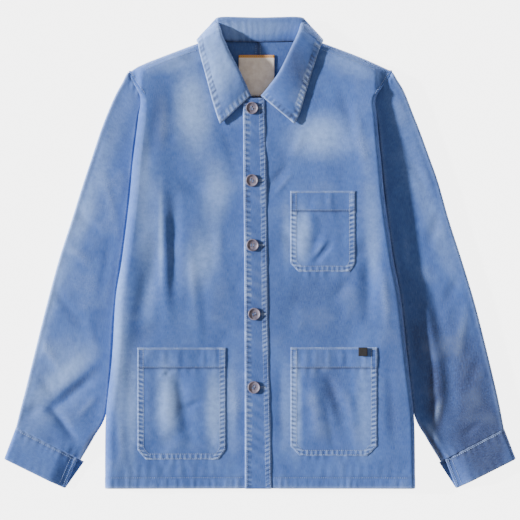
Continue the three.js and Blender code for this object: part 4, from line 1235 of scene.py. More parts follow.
def collar_grid():
    stations = collar_stations()
    last = len(stations["row"]) - 1
    knots = np.stack([stations["roll_x"], stations["roll_y"]], axis=1)
    lengths = np.linalg.norm(np.diff(knots, axis=0), axis=1)
    rows = np.concatenate([i + steps_between(0, 1, COLLAR_STEP / lengths[i]) for i in range(last)] + [[last]])
    at = {name: read(stations, name, rows, "row") for name in COLLAR_NAMES.split()}
    side = np.where(rows < last / 2, RIGHT, LEFT)
    turn = np.clip(at["turn"], -90, 90)
    over = clamp01(turn / COLLAR_OVER_TURN)
    under = clamp01(-turn / 90)

    def seat(x, y):
        both = np.where(side == LEFT, front_height(LEFT, x, y), front_height(RIGHT, x, y))
        return both + HALF + GAP + DOUBLED_HALF

    back_seat = back_height(at["neck_x"], at["neck_y"]) + HALF + GAP + DOUBLED_HALF
    neck_z = mix(back_seat, seat(at["neck_x"], at["neck_y"]), over)
    ends = np.minimum(rows, last - rows)
    cut = COLLAR_ROLL_CUT * (1 - between(ends, 0, 2))
    over_roll = at["roll"] - cut + COLLAR_ROLL_RISE * between(ends, 1.5, 4)
    roll_z = mix(at["roll"], centre_height(at["roll_y"]) + over_roll, over)
    edge_z = mix(DOUBLED_HALF, seat(at["edge_x"], at["edge_y"]) + COLLAR_EDGE_LIFT, over)
    neck = np.stack([at["neck_x"], at["neck_y"], neck_z], axis=1)
    edge = np.stack([at["edge_x"], at["edge_y"], edge_z], axis=1)
    crest = np.stack([at["roll_x"], at["roll_y"], roll_z], axis=1)
    inwards = (neck + edge) / 2 - crest
    inwards[:, 2] = 0
    inwards /= np.linalg.norm(inwards, axis=1, keepdims=True)
    outwards = np.stack([-inwards[:, 1], inwards[:, 0], np.zeros(len(rows))], axis=1)
    outwards = outwards * np.where(outwards[:, 0] * side < 0, -1, 1)[:, None]
    angle = np.radians(turn)[:, None]
    leafwards = outwards * np.cos(angle) + np.array([0, 0, 1.0]) * np.sin(angle)
    centre = crest + inwards * COLLAR_FOLD
    stand_top = centre - leafwards * COLLAR_FOLD
    leaf_top = centre + leafwards * COLLAR_FOLD
    points = [neck, (neck + stand_top) / 2, stand_top, crest, leaf_top]
    for share in COLLAR_LEAF_SHARES:
        point = mix(leaf_top, edge, share)
        sunk = mix(share, 1 - (1 - share) ** COLLAR_UNDER_POWER, under)
        point[:, 2] = mix(leaf_top[:, 2], edge[:, 2], sunk)
        lift = COLLAR_BULGE * math.sin(math.pi * share) * (1 - under)
        points.append(point + leafwards * lift[:, None])
    points.append(edge)
    grid = smooth_profile(np.stack(points, axis=1), COLLAR_PROFILE_STEPS)
    grid[..., 2] = np.maximum(DOUBLED_HALF, grid[..., 2])
    return grid, rows, over


def make_collar():
    grid, rows, over = collar_grid()
    down, from_edge = collar_distances(grid)
    along = run_length(grid[:, -1])[:, None] + 0 * down
    crest_at = down[:, 3 * COLLAR_PROFILE_STEPS][:, None]
    on_leaf = between(down, crest_at, crest_at + 8)
    on_stand = 1 - between(down, crest_at - 12, crest_at - 2)
    ends = np.minimum(rows, rows[-1] - rows)[:, None] + 0 * down
    from_end = ends * END_STATION_LENGTH
    row_place = np.arange(len(rows))[:, None] * COLLAR_STEP + 0 * down
    wave = 0.55 * ladder(along, from_edge, 8, 141, 1.5, 10)
    wave = wave + 0.22 * ripple(along, 13, 142) * hump(from_edge, 18)
    wave = wave + 0.6 * ladder(down, from_end, 8, 143, 1.5, 12)
    wave = wave + 0.3 * ripple(down, 11, 144) * hump(ends, 0.7)
    relief = wave * on_leaf + 0.8 * ripple(row_place, 12, 145) * on_stand
    relief = relief + uneven(along, down, *COLLAR_UNEVEN) * (on_leaf + 0.3)
    lifted = np.maximum(relief, -0.25) * mix(0.35, 1, over[:, None])
    grid = grid + grid_normals(grid, 1, False) * lifted[..., None]
    grid[..., 2] = np.maximum(DOUBLED_HALF, grid[..., 2])
    near = on_leaf * ((from_edge < 11) | (from_end < 13))
    wear = 0.6 * np.maximum(hump(from_edge, 1.6), hump(from_end, 1.6) * on_leaf)
    wear = (wear + 0.25 * hump(down - crest_at, 4)) * broken(along, down, 0.7, 8, 149)
    wear = wear + 0.6 * np.maximum(relief, 0) * near
    rows_dark = hump(from_edge - 9.5, 1.4) + hump(from_edge - 3, 1.2)
    dark = 0.35 * rows_dark * on_leaf + 0.8 * hump(down, 3) + 0.9 * np.maximum(-relief, 0) * near
    x, y = grid[..., 0], grid[..., 1]
    looks = cloth_looks(x, y, relief, COLLAR_FADES_AND_PAINTED_LIGHT, cloth=(along, down), wear=wear, dark=dark)
    return shell("collar_cloth", grid, DOUBLED, looks)


# Stitches: each is a short raised thread between two needle holes
THREAD_RADIUS = 0.42
STITCH_PITCH = 3.4
STITCH_LENGTH = 2.7
STITCH_LIFT = 0.3
STITCH_STRAY = 0.15
STITCH_MOST_RISE = 4
NEEDLE_DEPTH = 0.1
TONE_STRAY = 0.25

# Rows of stitches: how far each lies inside its edge or seam
SEAM_ROWS = (2.5, 8.5)
POCKET_ROWS = (2.2, 9.2)
COLLAR_ROWS = (2.6, 9.5)
PLACKET_FREE_ROW = 2.6
PLACKET_SEAM_ROW = 2.2
PLACKET_INNER_ROW = 8.5
BACK_SEAM_ROW = 3.6
SHOULDER_SEAM = ((98, 335), (148, 317), (184, 302))
CUFF_SEAM_SHARE = 0.06
CUFF_LAP_SHARES = (0.03, 0.09)

# Bars of close stitches at the pockets' upper corners
POCKET_BAR_STITCHES = 7
POCKET_BAR_PITCH = 1.1
POCKET_BAR_LENGTH = 2.4

# Buttonholes: from this far inside a button's middle to this far past it
HOLE_INSIDE = 8
HOLE_OUTSIDE = 17.5
HOLE_PITCH = 0.75
HOLE_RIDGE_INNER = 0.275
HOLE_RIDGE_OUTER = 1.76
HOLE_BAR_HALF = 1.8


class Stitches:
    """Collects the ends of stitches and makes them into one mesh."""

    def __init__(self, seed):
        self.starts = []
        self.ends = []
        self.normals = []
        self.tones = []
        self.random = np.random.default_rng(seed)

    def add(self, start, end, normal, tone):
        self.starts.append(np.array(start))
        self.ends.append(np.array(end))
        self.normals.append(np.array(normal))
        self.tones.append(float(clamp01(tone + self.random.uniform(-TONE_STRAY, TONE_STRAY))))

    def centres(self, length):
        """Middles of the stitches of a row that long, a little unevenly spaced."""
        centres = np.arange(STITCH_PITCH / 2, length - STITCH_LENGTH / 2, STITCH_PITCH)
        return centres + self.random.uniform(-STITCH_STRAY, STITCH_STRAY, len(centres))

    def along(self, points, normals, tone):
        """A row of stitches along a line in space."""
        reach = run_length(points)
        centres = self.centres(reach[-1])

        def at(values, places):
            return np.stack([np.interp(places, reach, values[:, i]) for i in range(3)], axis=1)

        starts = at(points, centres - STITCH_LENGTH / 2)
        ends = at(points, centres + STITCH_LENGTH / 2)
        for start, end, normal in zip(starts, ends, at(normals, centres)):
            self.add(start, end, normal / np.linalg.norm(normal), tone)

    def laid(self, surface, line, tone):
        """A row of stitches along a line in plan, laid on a surface seen from above."""
        line = np.asarray(line, float)
        reach = run_length(line)
        for centre in self.centres(reach[-1]):
            ends = []
            for place in (centre - STITCH_LENGTH / 2, centre + STITCH_LENGTH / 2):
                x = np.interp(place, reach, line[:, 0])
                y = np.interp(place, reach, line[:, 1])
                ends.append(surface(x, y))
            if None in ends:
                continue
            (start, normal), (end, other) = ends
            if abs(start[2] - end[2]) < STITCH_MOST_RISE:
                self.add(start, end, (normal + other) / np.linalg.norm(normal + other), tone)

    def across(self, surface, first, second, tone):
        """One stitch between two places in plan, if the surface is there."""
        start = surface(*first)
        end = surface(*second)
        if start is not None and end is not None:
            self.add(start[0], end[0], start[1], tone)

    def make(self, name):
        starts = np.array(self.starts)
        ends = np.array(self.ends)
        up = np.array(self.normals)
        forward = ends - starts
        forward = forward / np.linalg.norm(forward, axis=1, keepdims=True)
        sideways = np.cross(up, forward)
        sideways = sideways / np.linalg.norm(sideways, axis=1, keepdims=True)
        points = [starts - NEEDLE_DEPTH * up]
        for share in (0.25, 0.75):
            middle = mix(starts, ends, share) + up * STITCH_LIFT
            points += [
                middle + sideways * THREAD_RADIUS,
                middle + up * THREAD_RADIUS * 0.8,
                middle - sideways * THREAD_RADIUS,
                middle - up * THREAD_RADIUS,
            ]
        points.append(ends - NEEDLE_DEPTH * up)
        stacked = np.stack(points, axis=1)
        count = stacked.shape[1]
        quads = [(1 + i, 5 + i, 5 + (i + 1) % 4, 1 + (i + 1) % 4) for i in range(4)]
        caps = [(0, 1 + i, 1 + (i + 1) % 4) for i in range(4)]
        caps += [(9, 5 + (i + 1) % 4, 5 + i) for i in range(4)]
        template = [np.array(face) for face in quads + caps]
        faces = [(face + count * k).tolist() for k in range(len(starts)) for face in template]
        tone = np.repeat(np.array(self.tones), count)
        return new_mesh(name, stacked.reshape(-1, 3), faces, {"tone": tone})


def surface_of(*pieces):
    """A function from a place in plan to the point and normal on top of the pieces there."""
    bpy.context.view_layer.update()
    graph = bpy.context.evaluated_depsgraph_get()
    trees = [BVHTree.FromObject(piece, graph) for piece in pieces]

    def surface(x, y):
        best = None
        for tree in trees:
            hit, normal, _, _ = tree.ray_cast(Vector((x * MM, y * MM, 0.2)), Vector((0, 0, -1)))
            if hit is not None and (best is None or hit.z > best[0].z):
                best = (hit, normal)
        if best is None:
            return None
        return np.array(best[0]) / MM, np.array(best[1])

    return surface


def pocket_outline(pocket, inset):
    """The sewn sides and foot of a pocket, that far inside its edge."""
    cut = 0.42 * inset
    x0 = pocket["x0"] + inset
    x1 = pocket["x1"] - inset
    foot = pocket["bottom"] + inset
    return [
        (x0, pocket["top"] - 1),
        (x0, pocket["chamfer_y"] + cut),
        (pocket["chamfer_x0"] + cut, foot),
        (pocket["chamfer_x1"] - cut, foot),
        (x1, pocket["chamfer_y"] + cut),
        (x1, pocket["top"] - 1),
    ]


def grid_line(grid, distance, value):
    """Points and normals where the distance down each line of a grid has a value."""
    normal = grid_normals(grid, 1, False)
    points = []
    normals = []
    for line, normals_line, reach in zip(grid, normal, distance):
        order = np.argsort(reach)
        points.append([np.interp(value, reach[order], line[order, i]) for i in range(3)])
        normals.append([np.interp(value, reach[order], normals_line[order, i]) for i in range(3)])
    return np.array(points), np.array(normals)


def collar_stitches(stitches):
    grid, rows, over = collar_grid()
    down, from_edge = collar_distances(grid)
    normals = grid_normals(grid, 1, False)

    def sew(points, normals, tone):
        stitches.along(points + normals * (DOUBLED_HALF + 0.1), normals, tone)

    turned_over = over > 0.3
    for half in (rows < rows[-1] / 2, rows > rows[-1] / 2):
        part = turned_over & half
        for inset in COLLAR_ROWS:
            sew(*grid_line(grid[part], from_edge[part], inset), 0.75)
    stand = (rows > 4.4) & (rows < rows[-1] - 4.4)
    sew(*grid_line(grid[stand], down[stand], 4), 0.35)
    for end, inwards in ((0, 1), (len(rows) - 1, -1)):
        for steps_in in (1, 4):
            row = end + inwards * steps_in
            leaf = slice(4 * COLLAR_PROFILE_STEPS, grid.shape[1] - 6)
            sew(grid[row, leaf], normals[row, leaf], 0.75)


def buttonhole(stitches, surface, x, y):
    """A worked buttonhole: two ridges of close short stitches, and a bar at each end."""
    for place in np.arange(x - HOLE_INSIDE, x + HOLE_OUTSIDE, HOLE_PITCH):
        for turned in (-1, 1):
            inner = (place, y + turned * HOLE_RIDGE_INNER)
            stitches.across(surface, inner, (place, y + turned * HOLE_RIDGE_OUTER), 0.8)
    for end in (x - HOLE_INSIDE - 0.4, x + HOLE_OUTSIDE + 0.3):
        for offset in (-0.5, 0, 0.5):
            low = (end + offset, y - HOLE_BAR_HALF)
            stitches.across(surface, low, (end + offset, y + HOLE_BAR_HALF), 0.85)


def make_button(index, x, y):
    """A four-hole button with a raised round rim and a dished face."""
    sides = BUTTON_SIDES
    rim = BUTTON_RIM
    profile = [(0.0, 0.0), (8.4, 0.0), (9.4, 0.35), (BUTTON_RADIUS, 1.3), (BUTTON_RADIUS - 0.1, 2.0)]
    rim_middle = BUTTON_RADIUS - rim / 2 - 0.1
    for step in range(7):
        angle = math.pi * step / 6
        profile.append((rim_middle + rim / 2 * math.cos(angle), 2.2 + 0.8 * math.sin(angle)))
    profile += [(7.2, 1.75), (5.4, 1.5), (3.4, 1.45), (0.0, 1.45)]
    points = [(0.0, 0.0, 0.0)]
    for radius, height in profile[1:-1]:
        for side in range(sides):
            turn = 2 * math.pi * side / sides
            points.append((radius * math.cos(turn), radius * math.sin(turn), height))
    points.append((0.0, 0.0, profile[-1][1]))
    faces = [(0, 1 + (side + 1) % sides, 1 + side) for side in range(sides)]
    rings = len(profile) - 2
    for ring in range(rings - 1):
        for side in range(sides):
            a = 1 + ring * sides + side
            b = 1 + ring * sides + (side + 1) % sides
            faces.append((a, b, b + sides, a + sides))
    top = len(points) - 1
    base = 1 + (rings - 1) * sides
    faces += [(base + side, base + (side + 1) % sides, top) for side in range(sides)]
    body = new_mesh("button_body", np.array(points), faces, {})
    cutters = []
    for along_x, along_y in ((1, 1), (1, -1), (-1, 1), (-1, -1)):
        bpy.ops.mesh.primitive_cylinder_add(
            vertices=20,
            radius=BUTTON_HOLE * MM,
            depth=4 * BUTTON_THICK * MM,
            location=(along_x * BUTTON_HOLE_OFFSET * MM, along_y * BUTTON_HOLE_OFFSET * MM, 0),
        )
        cutter = bpy.context.object
        cutters.append(cutter)
        cut = body.modifiers.new("hole", "BOOLEAN")
        cut.operation = "DIFFERENCE"
        cut.solver = "EXACT"
        cut.object = cutter
    bpy.context.view_layer.update()
    graph = bpy.context.evaluated_depsgraph_get()
    mesh = bpy.data.meshes.new_from_object(body.evaluated_get(graph))
    for scrap in (body, *cutters):
        bpy.data.objects.remove(scrap, do_unlink=True)
    mesh.shade_smooth()
    mesh.set_sharp_from_angle(angle=math.radians(50))
    button = bpy.data.objects.new(f"button_{index}_turned", mesh)
    bpy.context.scene.collection.objects.link(button)
    height = float(centre_height(y)) + HALF + GAP + PLACKET_CLOTH + GAP
    turn = BUTTON_TURN * index
    spin = np.array([[math.cos(turn), -math.sin(turn), 0], [math.sin(turn), math.cos(turn), 0], [0, 0, 1]])
    coordinates = np.empty(len(mesh.vertices) * 3)
    mesh.vertices.foreach_get("co", coordinates)
    turned = coordinates.reshape(-1, 3) @ spin.T + np.array([x, y, height]) * MM
    mesh.vertices.foreach_set("co", turned.ravel())
    mesh.update()
    return button, height, turn


def button_threads(stitches, x, y, height, turn):
    """Sewing thread between the button's holes, in two bars."""
    for along_y in (-1, 1):
        for shift in (-0.35, 0.35):
            ends = []
            for along_x in (-1, 1):
                dx = along_x * BUTTON_HOLE_OFFSET
                dy = along_y * BUTTON_HOLE_OFFSET + shift
                px = x + dx * math.cos(turn) - dy * math.sin(turn)
                py = y + dx * math.sin(turn) + dy * math.cos(turn)
                ends.append((px, py, height + BUTTON_THREAD_HEIGHT))
            stitches.add(*ends, (0, 0, 1), 0.3)


def woven(name, x, y, z, thickness):
    """A small woven piece over a column of y and a row of x."""
    grid = np.stack([x + 0 * y, y + 0 * x, z], axis=-1)
    cloth = grid * [MM, MM, 0]
    return shell(name, grid, thickness, {"cloth": cloth})


def make_label():
    x = np.linspace(LABEL["x0"], LABEL["x1"], 40)[None, :]
    y = np.linspace(LABEL["y0"], LABEL["y1"], 46)[:, None]
    bow = 0.3 * noise_field(x, y, 22, 161)
    z = back_height(x, y) + HALF + GAP + LABEL_THICK / 2 + LABEL_RISE + bow
    return woven("neck_label_cloth", x, y, z, LABEL_THICK)


def make_tab():
    x = np.linspace(TAB["x0"], TAB["x1"], 16)[None, :]
    y = np.linspace(TAB["y0"], TAB["y1"], 16)[:, None]
    lift = POCKET_LIFT + CLOTH + POCKET_BAND_EXTRA + GAP + TAB_RISE
    z = front_fine(LEFT, x, y) + HALF + lift + TAB_THICK / 2
    return woven("pocket_tab_cloth", x, y, z, TAB_THICK)


def srgb(red, green, blue):
    """A display colour, 0 to 255, as linear light."""
    values = np.array([red, green, blue]) / 255
    linear = np.where(values <= 0.04045, values / 12.92, ((values + 0.055) / 1.055) ** 2.4)
    return (*linear.tolist(), 1.0)


class Shader:
    """Builds the nodes of one material."""

    def __init__(self, name):
        self.material = bpy.data.materials.new(name)
        self.material.use_nodes = True
        self.tree = self.material.node_tree
        self.principled = self.tree.nodes["Principled BSDF"]

    def node(self, kind, inputs=None, **settings):
        node = self.tree.nodes.new(kind)
        for key, value in settings.items():
            setattr(node, key, value)
        for key, value in (inputs or {}).items():
            self.put(node.inputs[key], value)
        return node

    def put(self, socket, value):
        if isinstance(value, bpy.types.NodeSocket):
            self.tree.links.new(value, socket)
        else:
            socket.default_value = value

    def attribute(self, name, output="Fac"):
        return self.node("ShaderNodeAttribute", attribute_name=name).outputs[output]

    def math(self, operation, first, second=0.0, clamp=False):
        node = self.node("ShaderNodeMath", operation=operation, use_clamp=clamp)
        self.put(node.inputs[0], first)
        self.put(node.inputs[1], second)
        return node.outputs[0]

    def blend(self, factor, first, second, kind="MIX"):
        node = self.node("ShaderNodeMix", data_type="RGBA", blend_type=kind)
        self.put(node.inputs[0], factor)
        self.put(node.inputs[6], first)
        self.put(node.inputs[7], second)
        return node.outputs[2]

    def place(self, vector, scale, turn=0.0):
        inputs = {"Vector": vector, "Scale": scale, "Rotation": (0, 0, math.radians(turn))}
        return self.node("ShaderNodeMapping", inputs).outputs[0]

    def noise(self, vector, scale, detail=2.0, roughness=0.5):
        inputs = {"Vector": vector, "Scale": scale, "Detail": detail, "Roughness": roughness}
        return self.node("ShaderNodeTexNoise", inputs).outputs["Fac"]

    def ribs(self, vector, scale, direction, more=None):
        """Fine parallel ribs of a weave."""
        inputs = {"Vector": vector, "Scale": scale, **(more or {})}
        settings = {"wave_type": "BANDS", "bands_direction": direction}
        return self.node("ShaderNodeTexWave", inputs, **settings).outputs["Fac"]

    def range(self, value, low, high, out_low=0.0, out_high=1.0):
        inputs = {"Value": value, "From Min": low, "From Max": high, "To Min": out_low, "To Max": out_high}
        return self.node("ShaderNodeMapRange", inputs).outputs[0]

    def bump(self, height, strength, distance, normal=None):
        inputs = {"Height": height, "Strength": strength, "Distance": distance}
        if normal is not None:
            inputs["Normal"] = normal
        return self.node("ShaderNodeBump", inputs).outputs[0]

    def finish(self, colour, roughness, normal):
        self.put(self.principled.inputs["Base Color"], colour)
        self.put(self.principled.inputs["Roughness"], roughness)
        self.put(self.principled.inputs["Normal"], normal)
        return self.material


TWILL_MID = srgb(42, 80, 154)
TWILL_LIGHT = srgb(74, 114, 188)
# Pale colour of wash fading, also the colour of painted highlights
TWILL_FADED_AND_LIT = srgb(142, 177, 236)
TWILL_DARK = srgb(28, 42, 88)
TWILL_WORN = srgb(178, 205, 248)
THREAD_PALE = srgb(164, 182, 212)
THREAD_BLUE = srgb(84, 116, 168)
BUTTON_BASE = srgb(80, 76, 92)
BUTTON_PALE = srgb(122, 116, 132)
LABEL_CREAM = srgb(244, 236, 224)
LABEL_MUSTARD = srgb(214, 150, 34)
TAB_BLACK = srgb(18, 16, 17)
FLOOR_PALE = srgb(158, 158, 158)
FLOOR_GLOW = 4.8
FLOOR_SHADE_HALF = 0.228
FLOOR_SHADE_TAPER = 0.15
FLOOR_SHADE_TAPER_Y = -0.1
FLOOR_SHADE_LOW = -0.262
FLOOR_SHADE_HIGH = 0.3
TWILL_WAVE_SCALE = 404
RIB_WAVE_SCALE = 300


def twill_material():
    """Washed twill: diagonal ribs, warp streaks, mottled fading with painted highlights, worn ridges, dark
    unfaded seams, darker hollows, and painted shade.
    """
    s = Shader("washed_twill")
    cloth = s.attribute("cloth", "Vector")
    uneven_ribs = {"Distortion": 1.2, "Detail": 2.0, "Detail Scale": 1.4}
    ribs = s.ribs(s.place(cloth, (1, -1, 1)), TWILL_WAVE_SCALE, "DIAGONAL", uneven_ribs)
    streaks = s.noise(s.place(cloth, (1400, 130, 1)), 1.0, 3.0)
    fine = s.noise(cloth, 420.0, 4.0, 0.6)
    small = s.noise(cloth, 130.0, 4.0, 0.62)
    broad = s.noise(cloth, 24.0, 3.0)
    lift = s.math("ADD", s.range(small, 0.35, 0.68, 0, 0.45), s.range(broad, 0.35, 0.65, 0, 0.3))
    colour = s.blend(s.math("MULTIPLY", lift, 0.8, True), TWILL_MID, TWILL_LIGHT)
    # Paler with wash fading and painted highlights; darker at unfaded seams and hollows, and with painted
    # shade.
    fade_and_highlight = s.math("MULTIPLY", s.attribute("fade_and_highlight"), s.range(small, 0.3, 0.7, 0.7, 1.15), True)
    colour = s.blend(fade_and_highlight, colour, TWILL_FADED_AND_LIT)
    deep = s.math("MULTIPLY", s.attribute("dark"), s.range(fine, 0.3, 0.7, 0.6, 1.2), True)
    colour = s.blend(deep, colour, TWILL_DARK)
    rubbed = s.math("MULTIPLY", s.attribute("wear"), s.range(fine, 0.36, 0.62, 0.35, 1.2), True)
    colour = s.blend(rubbed, colour, TWILL_WORN)
    colour = s.blend(s.range(streaks, 0.3, 0.7, 0, 0.2), colour, s.blend(0.5, colour, TWILL_WORN))
    colour = s.blend(s.range(ribs, 0, 1, 0.28, 0), colour, s.blend(0.5, colour, TWILL_DARK))
    weave = s.bump(ribs, 0.55, 0.00028)
    grain = s.bump(fine, 0.35, 0.0005, weave)
    s.principled.inputs["Sheen Weight"].default_value = 0.12
    s.principled.inputs["Sheen Roughness"].default_value = 0.6
    s.principled.inputs["Specular IOR Level"].default_value = 0.25
    return s.finish(colour, s.range(fine, 0.2, 0.8, 0.84, 0.96), grain)


def thread_material():
    s = Shader("sewing_thread")
    place = s.node("ShaderNodeTexCoord").outputs["Object"]
    twist = s.noise(place, 1500.0, 2.0)
    colour = s.blend(s.attribute("tone"), THREAD_BLUE, THREAD_PALE)
    colour = s.blend(s.range(twist, 0.3, 0.7, 0, 0.4), colour, TWILL_MID)
    s.principled.inputs["Specular IOR Level"].default_value = 0.3
    return s.finish(colour, s.range(twist, 0.2, 0.8, 0.7, 0.9), s.bump(twist, 0.4, 0.0002))


def button_material():
    s = Shader("button_resin")
    place = s.node("ShaderNodeTexCoord").outputs["Object"]
    clouds = s.noise(place, 160.0, 4.0, 0.6)
    scratches = s.noise(s.place(place, (900, 200, 200), 35), 1.0, 4.0)
    colour = s.blend(s.range(clouds, 0.38, 0.62), BUTTON_BASE, BUTTON_PALE)
    colour = s.blend(s.range(scratches, 0.55, 0.75, 0, 0.35), colour, BUTTON_PALE)
    return s.finish(colour, s.range(scratches, 0.3, 0.7, 0.34, 0.55), s.bump(scratches, 0.15, 0.0002))


def label_material():
    """Woven label: cream with fine cross ribs and a mustard edge along its top."""
    s = Shader("label_weave")
    cloth = s.attribute("cloth", "Vector")
    ribs = s.ribs(cloth, RIB_WAVE_SCALE, "Y")
    grime = s.noise(cloth, 90.0, 4.0, 0.6)
    height = s.node("ShaderNodeSeparateXYZ", {"Vector": cloth}).outputs["Y"]
    top = s.range(height, (LABEL["y1"] - LABEL_EDGE_START) * MM, (LABEL["y1"] - LABEL_EDGE_END) * MM)
    colour = s.blend(s.range(grime, 0.4, 0.7, 0, 0.5), LABEL_CREAM, srgb(196, 182, 168))
    colour = s.blend(top, colour, LABEL_MUSTARD)
    colour = s.blend(s.range(ribs, 0, 1, 0.18, 0), colour, srgb(120, 105, 95))
    return s.finish(colour, s.range(grime, 0.3, 0.7, 0.75, 0.9), s.bump(ribs, 0.5, 0.0002))


def tab_material():
    s = Shader("tab_weave")
    cloth = s.attribute("cloth", "Vector")
    ribs = s.ribs(cloth, RIB_WAVE_SCALE, "X")
    dust = s.noise(cloth, 400.0, 4.0, 0.6)
    colour = s.blend(s.range(dust, 0.5, 0.8, 0, 0.3), TAB_BLACK, srgb(92, 86, 88))
    return s.finish(colour, s.range(dust, 0.3, 0.7, 0.7, 0.9), s.bump(ribs, 0.5, 0.0002))


def floor_material():
    """A pale floor that glows a little, but not under the body, where seams would let it through."""
    s = Shader("pale_floor")
    place = s.node("ShaderNodeTexCoord").outputs["Object"]
    grain = s.noise(place, 60.0, 2.0)
    colour = s.blend(s.range(grain, 0.3, 0.7, 0, 0.3), FLOOR_PALE, srgb(150, 150, 152))
    axes = s.node("ShaderNodeSeparateXYZ", {"Vector": place})
    across = s.math("ABSOLUTE", axes.outputs["X"])
    up = s.math("MAXIMUM", axes.outputs["Y"], FLOOR_SHADE_TAPER_Y)
    taper = s.math("MULTIPLY", up, FLOOR_SHADE_TAPER)
    beside = s.math("GREATER_THAN", s.math("ADD", across, taper), FLOOR_SHADE_HALF)
    below = s.math("LESS_THAN", axes.outputs["Y"], FLOOR_SHADE_LOW)
    above = s.math("GREATER_THAN", axes.outputs["Y"], FLOOR_SHADE_HIGH)
    open_floor = s.math("MAXIMUM", beside, s.math("MAXIMUM", below, above))
    s.principled.inputs["Emission Color"].default_value = (1.0, 1.0, 1.0, 1.0)
    s.put(s.principled.inputs["Emission Strength"], s.math("MULTIPLY", open_floor, FLOOR_GLOW))
    return s.finish(colour, s.range(grain, 0.3, 0.7, 0.85, 0.9), s.bump(grain, 0.02, 0.0002))


def dress(piece, material, slot, *nodes):
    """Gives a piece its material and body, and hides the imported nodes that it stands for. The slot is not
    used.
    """
    piece.data.materials.clear()
    piece.data.materials.append(material)
    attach(piece, ROOT)
    if nodes:
        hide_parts(*nodes)
    return piece


twill = twill_material()
thread = thread_material()
resin = button_material()

# Cloth pieces
fronts = {side: make_front(side) for side in SIDES}
for side in SIDES:
    dress(fronts[side], twill, "twill", f"front_{side_name(side)}")
placket = dress(make_placket(), twill, "twill", "placket")
collar = dress(make_collar(), twill, "twill", "collar")
sleeves = {side: make_sleeve(side) for side in SIDES}
cuffs = {side: make_cuff(side) for side in SIDES}
backs = {side: make_back(side) for side in SIDES}
for side in SIDES:
    word = side_name(side)
    dress(sleeves[side], twill, "twill", f"sleeve_{word}_upper", f"sleeve_{word}_under")
    dress(cuffs[side], twill, "twill", f"cuff_{word}")
    dress(backs[side], twill, "twill", f"back_{word}")
pockets = {name: dress(make_pocket(name), twill, "twill", name) for name in POCKETS}
label = dress(make_label(), label_material(), "label", "neck_label")
tab = dress(make_tab(), tab_material(), "tab", "pocket_tab")

# Sewing
stitches = Stitches(7)
on_front = {side: surface_of(fronts[side]) for side in SIDES}
on_placket = surface_of(placket)
on_back = surface_of(backs[LEFT], backs[RIGHT])
stitches.laid(on_front[LEFT], [(22, HEM_STITCH_Y), (FRONT_HALF_WIDTH, HEM_STITCH_Y)], 0.6)
stitches.laid(on_front[RIGHT], [(-FRONT_HALF_WIDTH, HEM_STITCH_Y), (-25, HEM_STITCH_Y)], 0.6)
for side in SIDES:
    for inset in SEAM_ROWS:
        shoulder = [(side * x, y - inset - 1.5) for x, y in SHOULDER_SEAM]
        stitches.laid(on_front[side], shoulder, 0.5)
        seam = [(side * (x - 0.84 * inset), y - 3 + 0.4 * inset) for x, y in (ARMHOLE_HIGH, ARMHOLE_LOW)]
        stitches.laid(on_front[side], seam, 0.7)
for name, pocket in POCKETS.items():
    on_pocket = surface_of(pockets[name])
    for inset in POCKET_ROWS:
        stitches.laid(on_pocket, pocket_outline(pocket, inset), 0.8)
    for height in (pocket["band"] + 1.8, pocket["top"] - 2.6):
        stitches.laid(on_pocket, [(pocket["x0"] + 3, height), (pocket["x1"] - 3, height)], 0.6)
    bar = pocket["top"] - 1.5
    for corner, inwards in ((pocket["x0"] + 1.5, 1), (pocket["x1"] - 1.5, -1)):
        for step in range(POCKET_BAR_STITCHES):
            place = corner + inwards * step * POCKET_BAR_PITCH
            stitches.across(on_pocket, (place, bar), (place, bar - POCKET_BAR_LENGTH), 0.7)
placket_y = np.arange(HEM_Y + 3, PLACKET_TOP - 2, 6.0)
free_edge = np.stack([read(PLACKET, "free", placket_y), placket_y], axis=1)
seam_edge = np.stack([read(PLACKET, "seam", placket_y), placket_y], axis=1)
stitches.laid(on_placket, free_edge + [PLACKET_FREE_ROW, 0], 0.75)
stitches.laid(on_placket, seam_edge - [PLACKET_SEAM_ROW, 0], 0.7)
stitches.laid(on_placket, seam_edge - [PLACKET_INNER_ROW, 0], 0.55)
for x, y in BUTTONS:
    buttonhole(stitches, on_placket, x, y)
for side in SIDES:
    on_cuff = surface_of(cuffs[side])
    cuff = cuff_corners(side)
    start = mix(cuff["seam_in"], cuff["mouth_in"], CUFF_SEAM_SHARE)
    end = mix(cuff["seam_out"], cuff["mouth_out"], CUFF_SEAM_SHARE)
    stitches.laid(on_cuff, [mix(start, end, 0.02), mix(start, end, 0.93)], 0.7)
    for share in CUFF_LAP_SHARES:
        start = mix(cuff["seam_in"], cuff["seam_out"], share)
        end = mix(cuff["mouth_in"], cuff["mouth_out"], share)
        stitches.laid(on_cuff, [mix(start, end, 0.06), mix(start, end, 0.95)], 0.7)
for x in (BACK_SEAM_X - BACK_SEAM_ROW, BACK_SEAM_X + BACK_SEAM_ROW):
    stitches.laid(on_back, [(x, 200), (x, 335)], 0.5)
collar_stitches(stitches)
on_label = surface_of(label)
for height in (LABEL["y0"] + 1.5, LABEL["y1"] - 1.5):
    stitches.laid(on_label, [(LABEL["x0"] + 1, height), (LABEL["x1"] - 1, height)], 0.95)

# Buttons
for number, (x, y) in enumerate(BUTTONS, start=1):
    button, height, turn = make_button(number, x, y)
    dress(button, resin, "button", f"button_{number}")
    button_threads(stitches, x, y, height, turn)
dress(stitches.make("stitching"), thread, "twill")

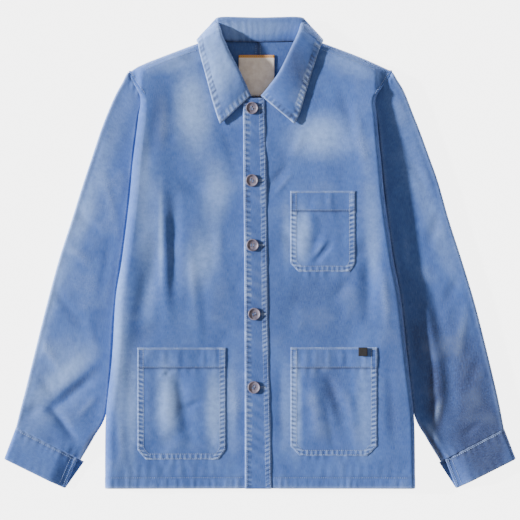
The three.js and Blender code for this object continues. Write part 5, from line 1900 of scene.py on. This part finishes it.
# Floor
FLOOR_REACH = 6000
FLOOR_LOW = -0.4
FLOOR_POINTS = 5
floor_places = np.linspace(-FLOOR_REACH, FLOOR_REACH, FLOOR_POINTS)
floor_points = np.array([(x, y, FLOOR_LOW) for y in floor_places for x in floor_places])
floor = new_mesh("floor", floor_points, grid_quads(FLOOR_POINTS, FLOOR_POINTS, False).tolist(), {})
floor.data.materials.append(floor_material())
floor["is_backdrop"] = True

# Light
KEY_ELEVATION = math.radians(18.5)
KEY_SLANT = 0.15
KEY_ENERGY = 11.8
KEY_WIDTH = math.radians(3.5)
KEY_COLOUR = (0.98, 0.98, 1.0)
FILL_COLOUR = (1.0, 0.9, 0.82, 1.0)
FILL_STRENGTH = 0.54
sun_data = bpy.data.lights.new("key", "SUN")
sun_data.energy = KEY_ENERGY
sun_data.angle = KEY_WIDTH
sun_data.color = KEY_COLOUR
sun = bpy.data.objects.new("key", sun_data)
travel = Vector((1, -KEY_SLANT, -math.tan(KEY_ELEVATION)))
sun.rotation_euler = travel.to_track_quat("-Z", "Y").to_euler()
bpy.context.scene.collection.objects.link(sun)
world = bpy.data.worlds.new("studio")
world.use_nodes = True
background = world.node_tree.nodes["Background"]
background.inputs["Color"].default_value = FILL_COLOUR
background.inputs["Strength"].default_value = FILL_STRENGTH
bpy.context.scene.world = world

# Camera
CAMERA_HEIGHT = 4000
VIEW_WIDTH = 832
VIEW_CENTRE_Y = -12
SURFACE_HEIGHT = 15
SENSOR = 36
camera_data = bpy.data.cameras.new("camera")
camera_data.sensor_width = SENSOR
camera_data.lens = SENSOR * (CAMERA_HEIGHT - SURFACE_HEIGHT) / VIEW_WIDTH
camera_data.clip_end = 30
camera = bpy.data.objects.new("camera", camera_data)
camera.location = (0, VIEW_CENTRE_Y * MM, CAMERA_HEIGHT * MM)
bpy.context.scene.collection.objects.link(camera)
bpy.context.scene.camera = camera

boxes = {"cad": cad_box, "visual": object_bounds()}
{name: [list(map(float, corner)) for corner in box] for name, box in boxes.items()}
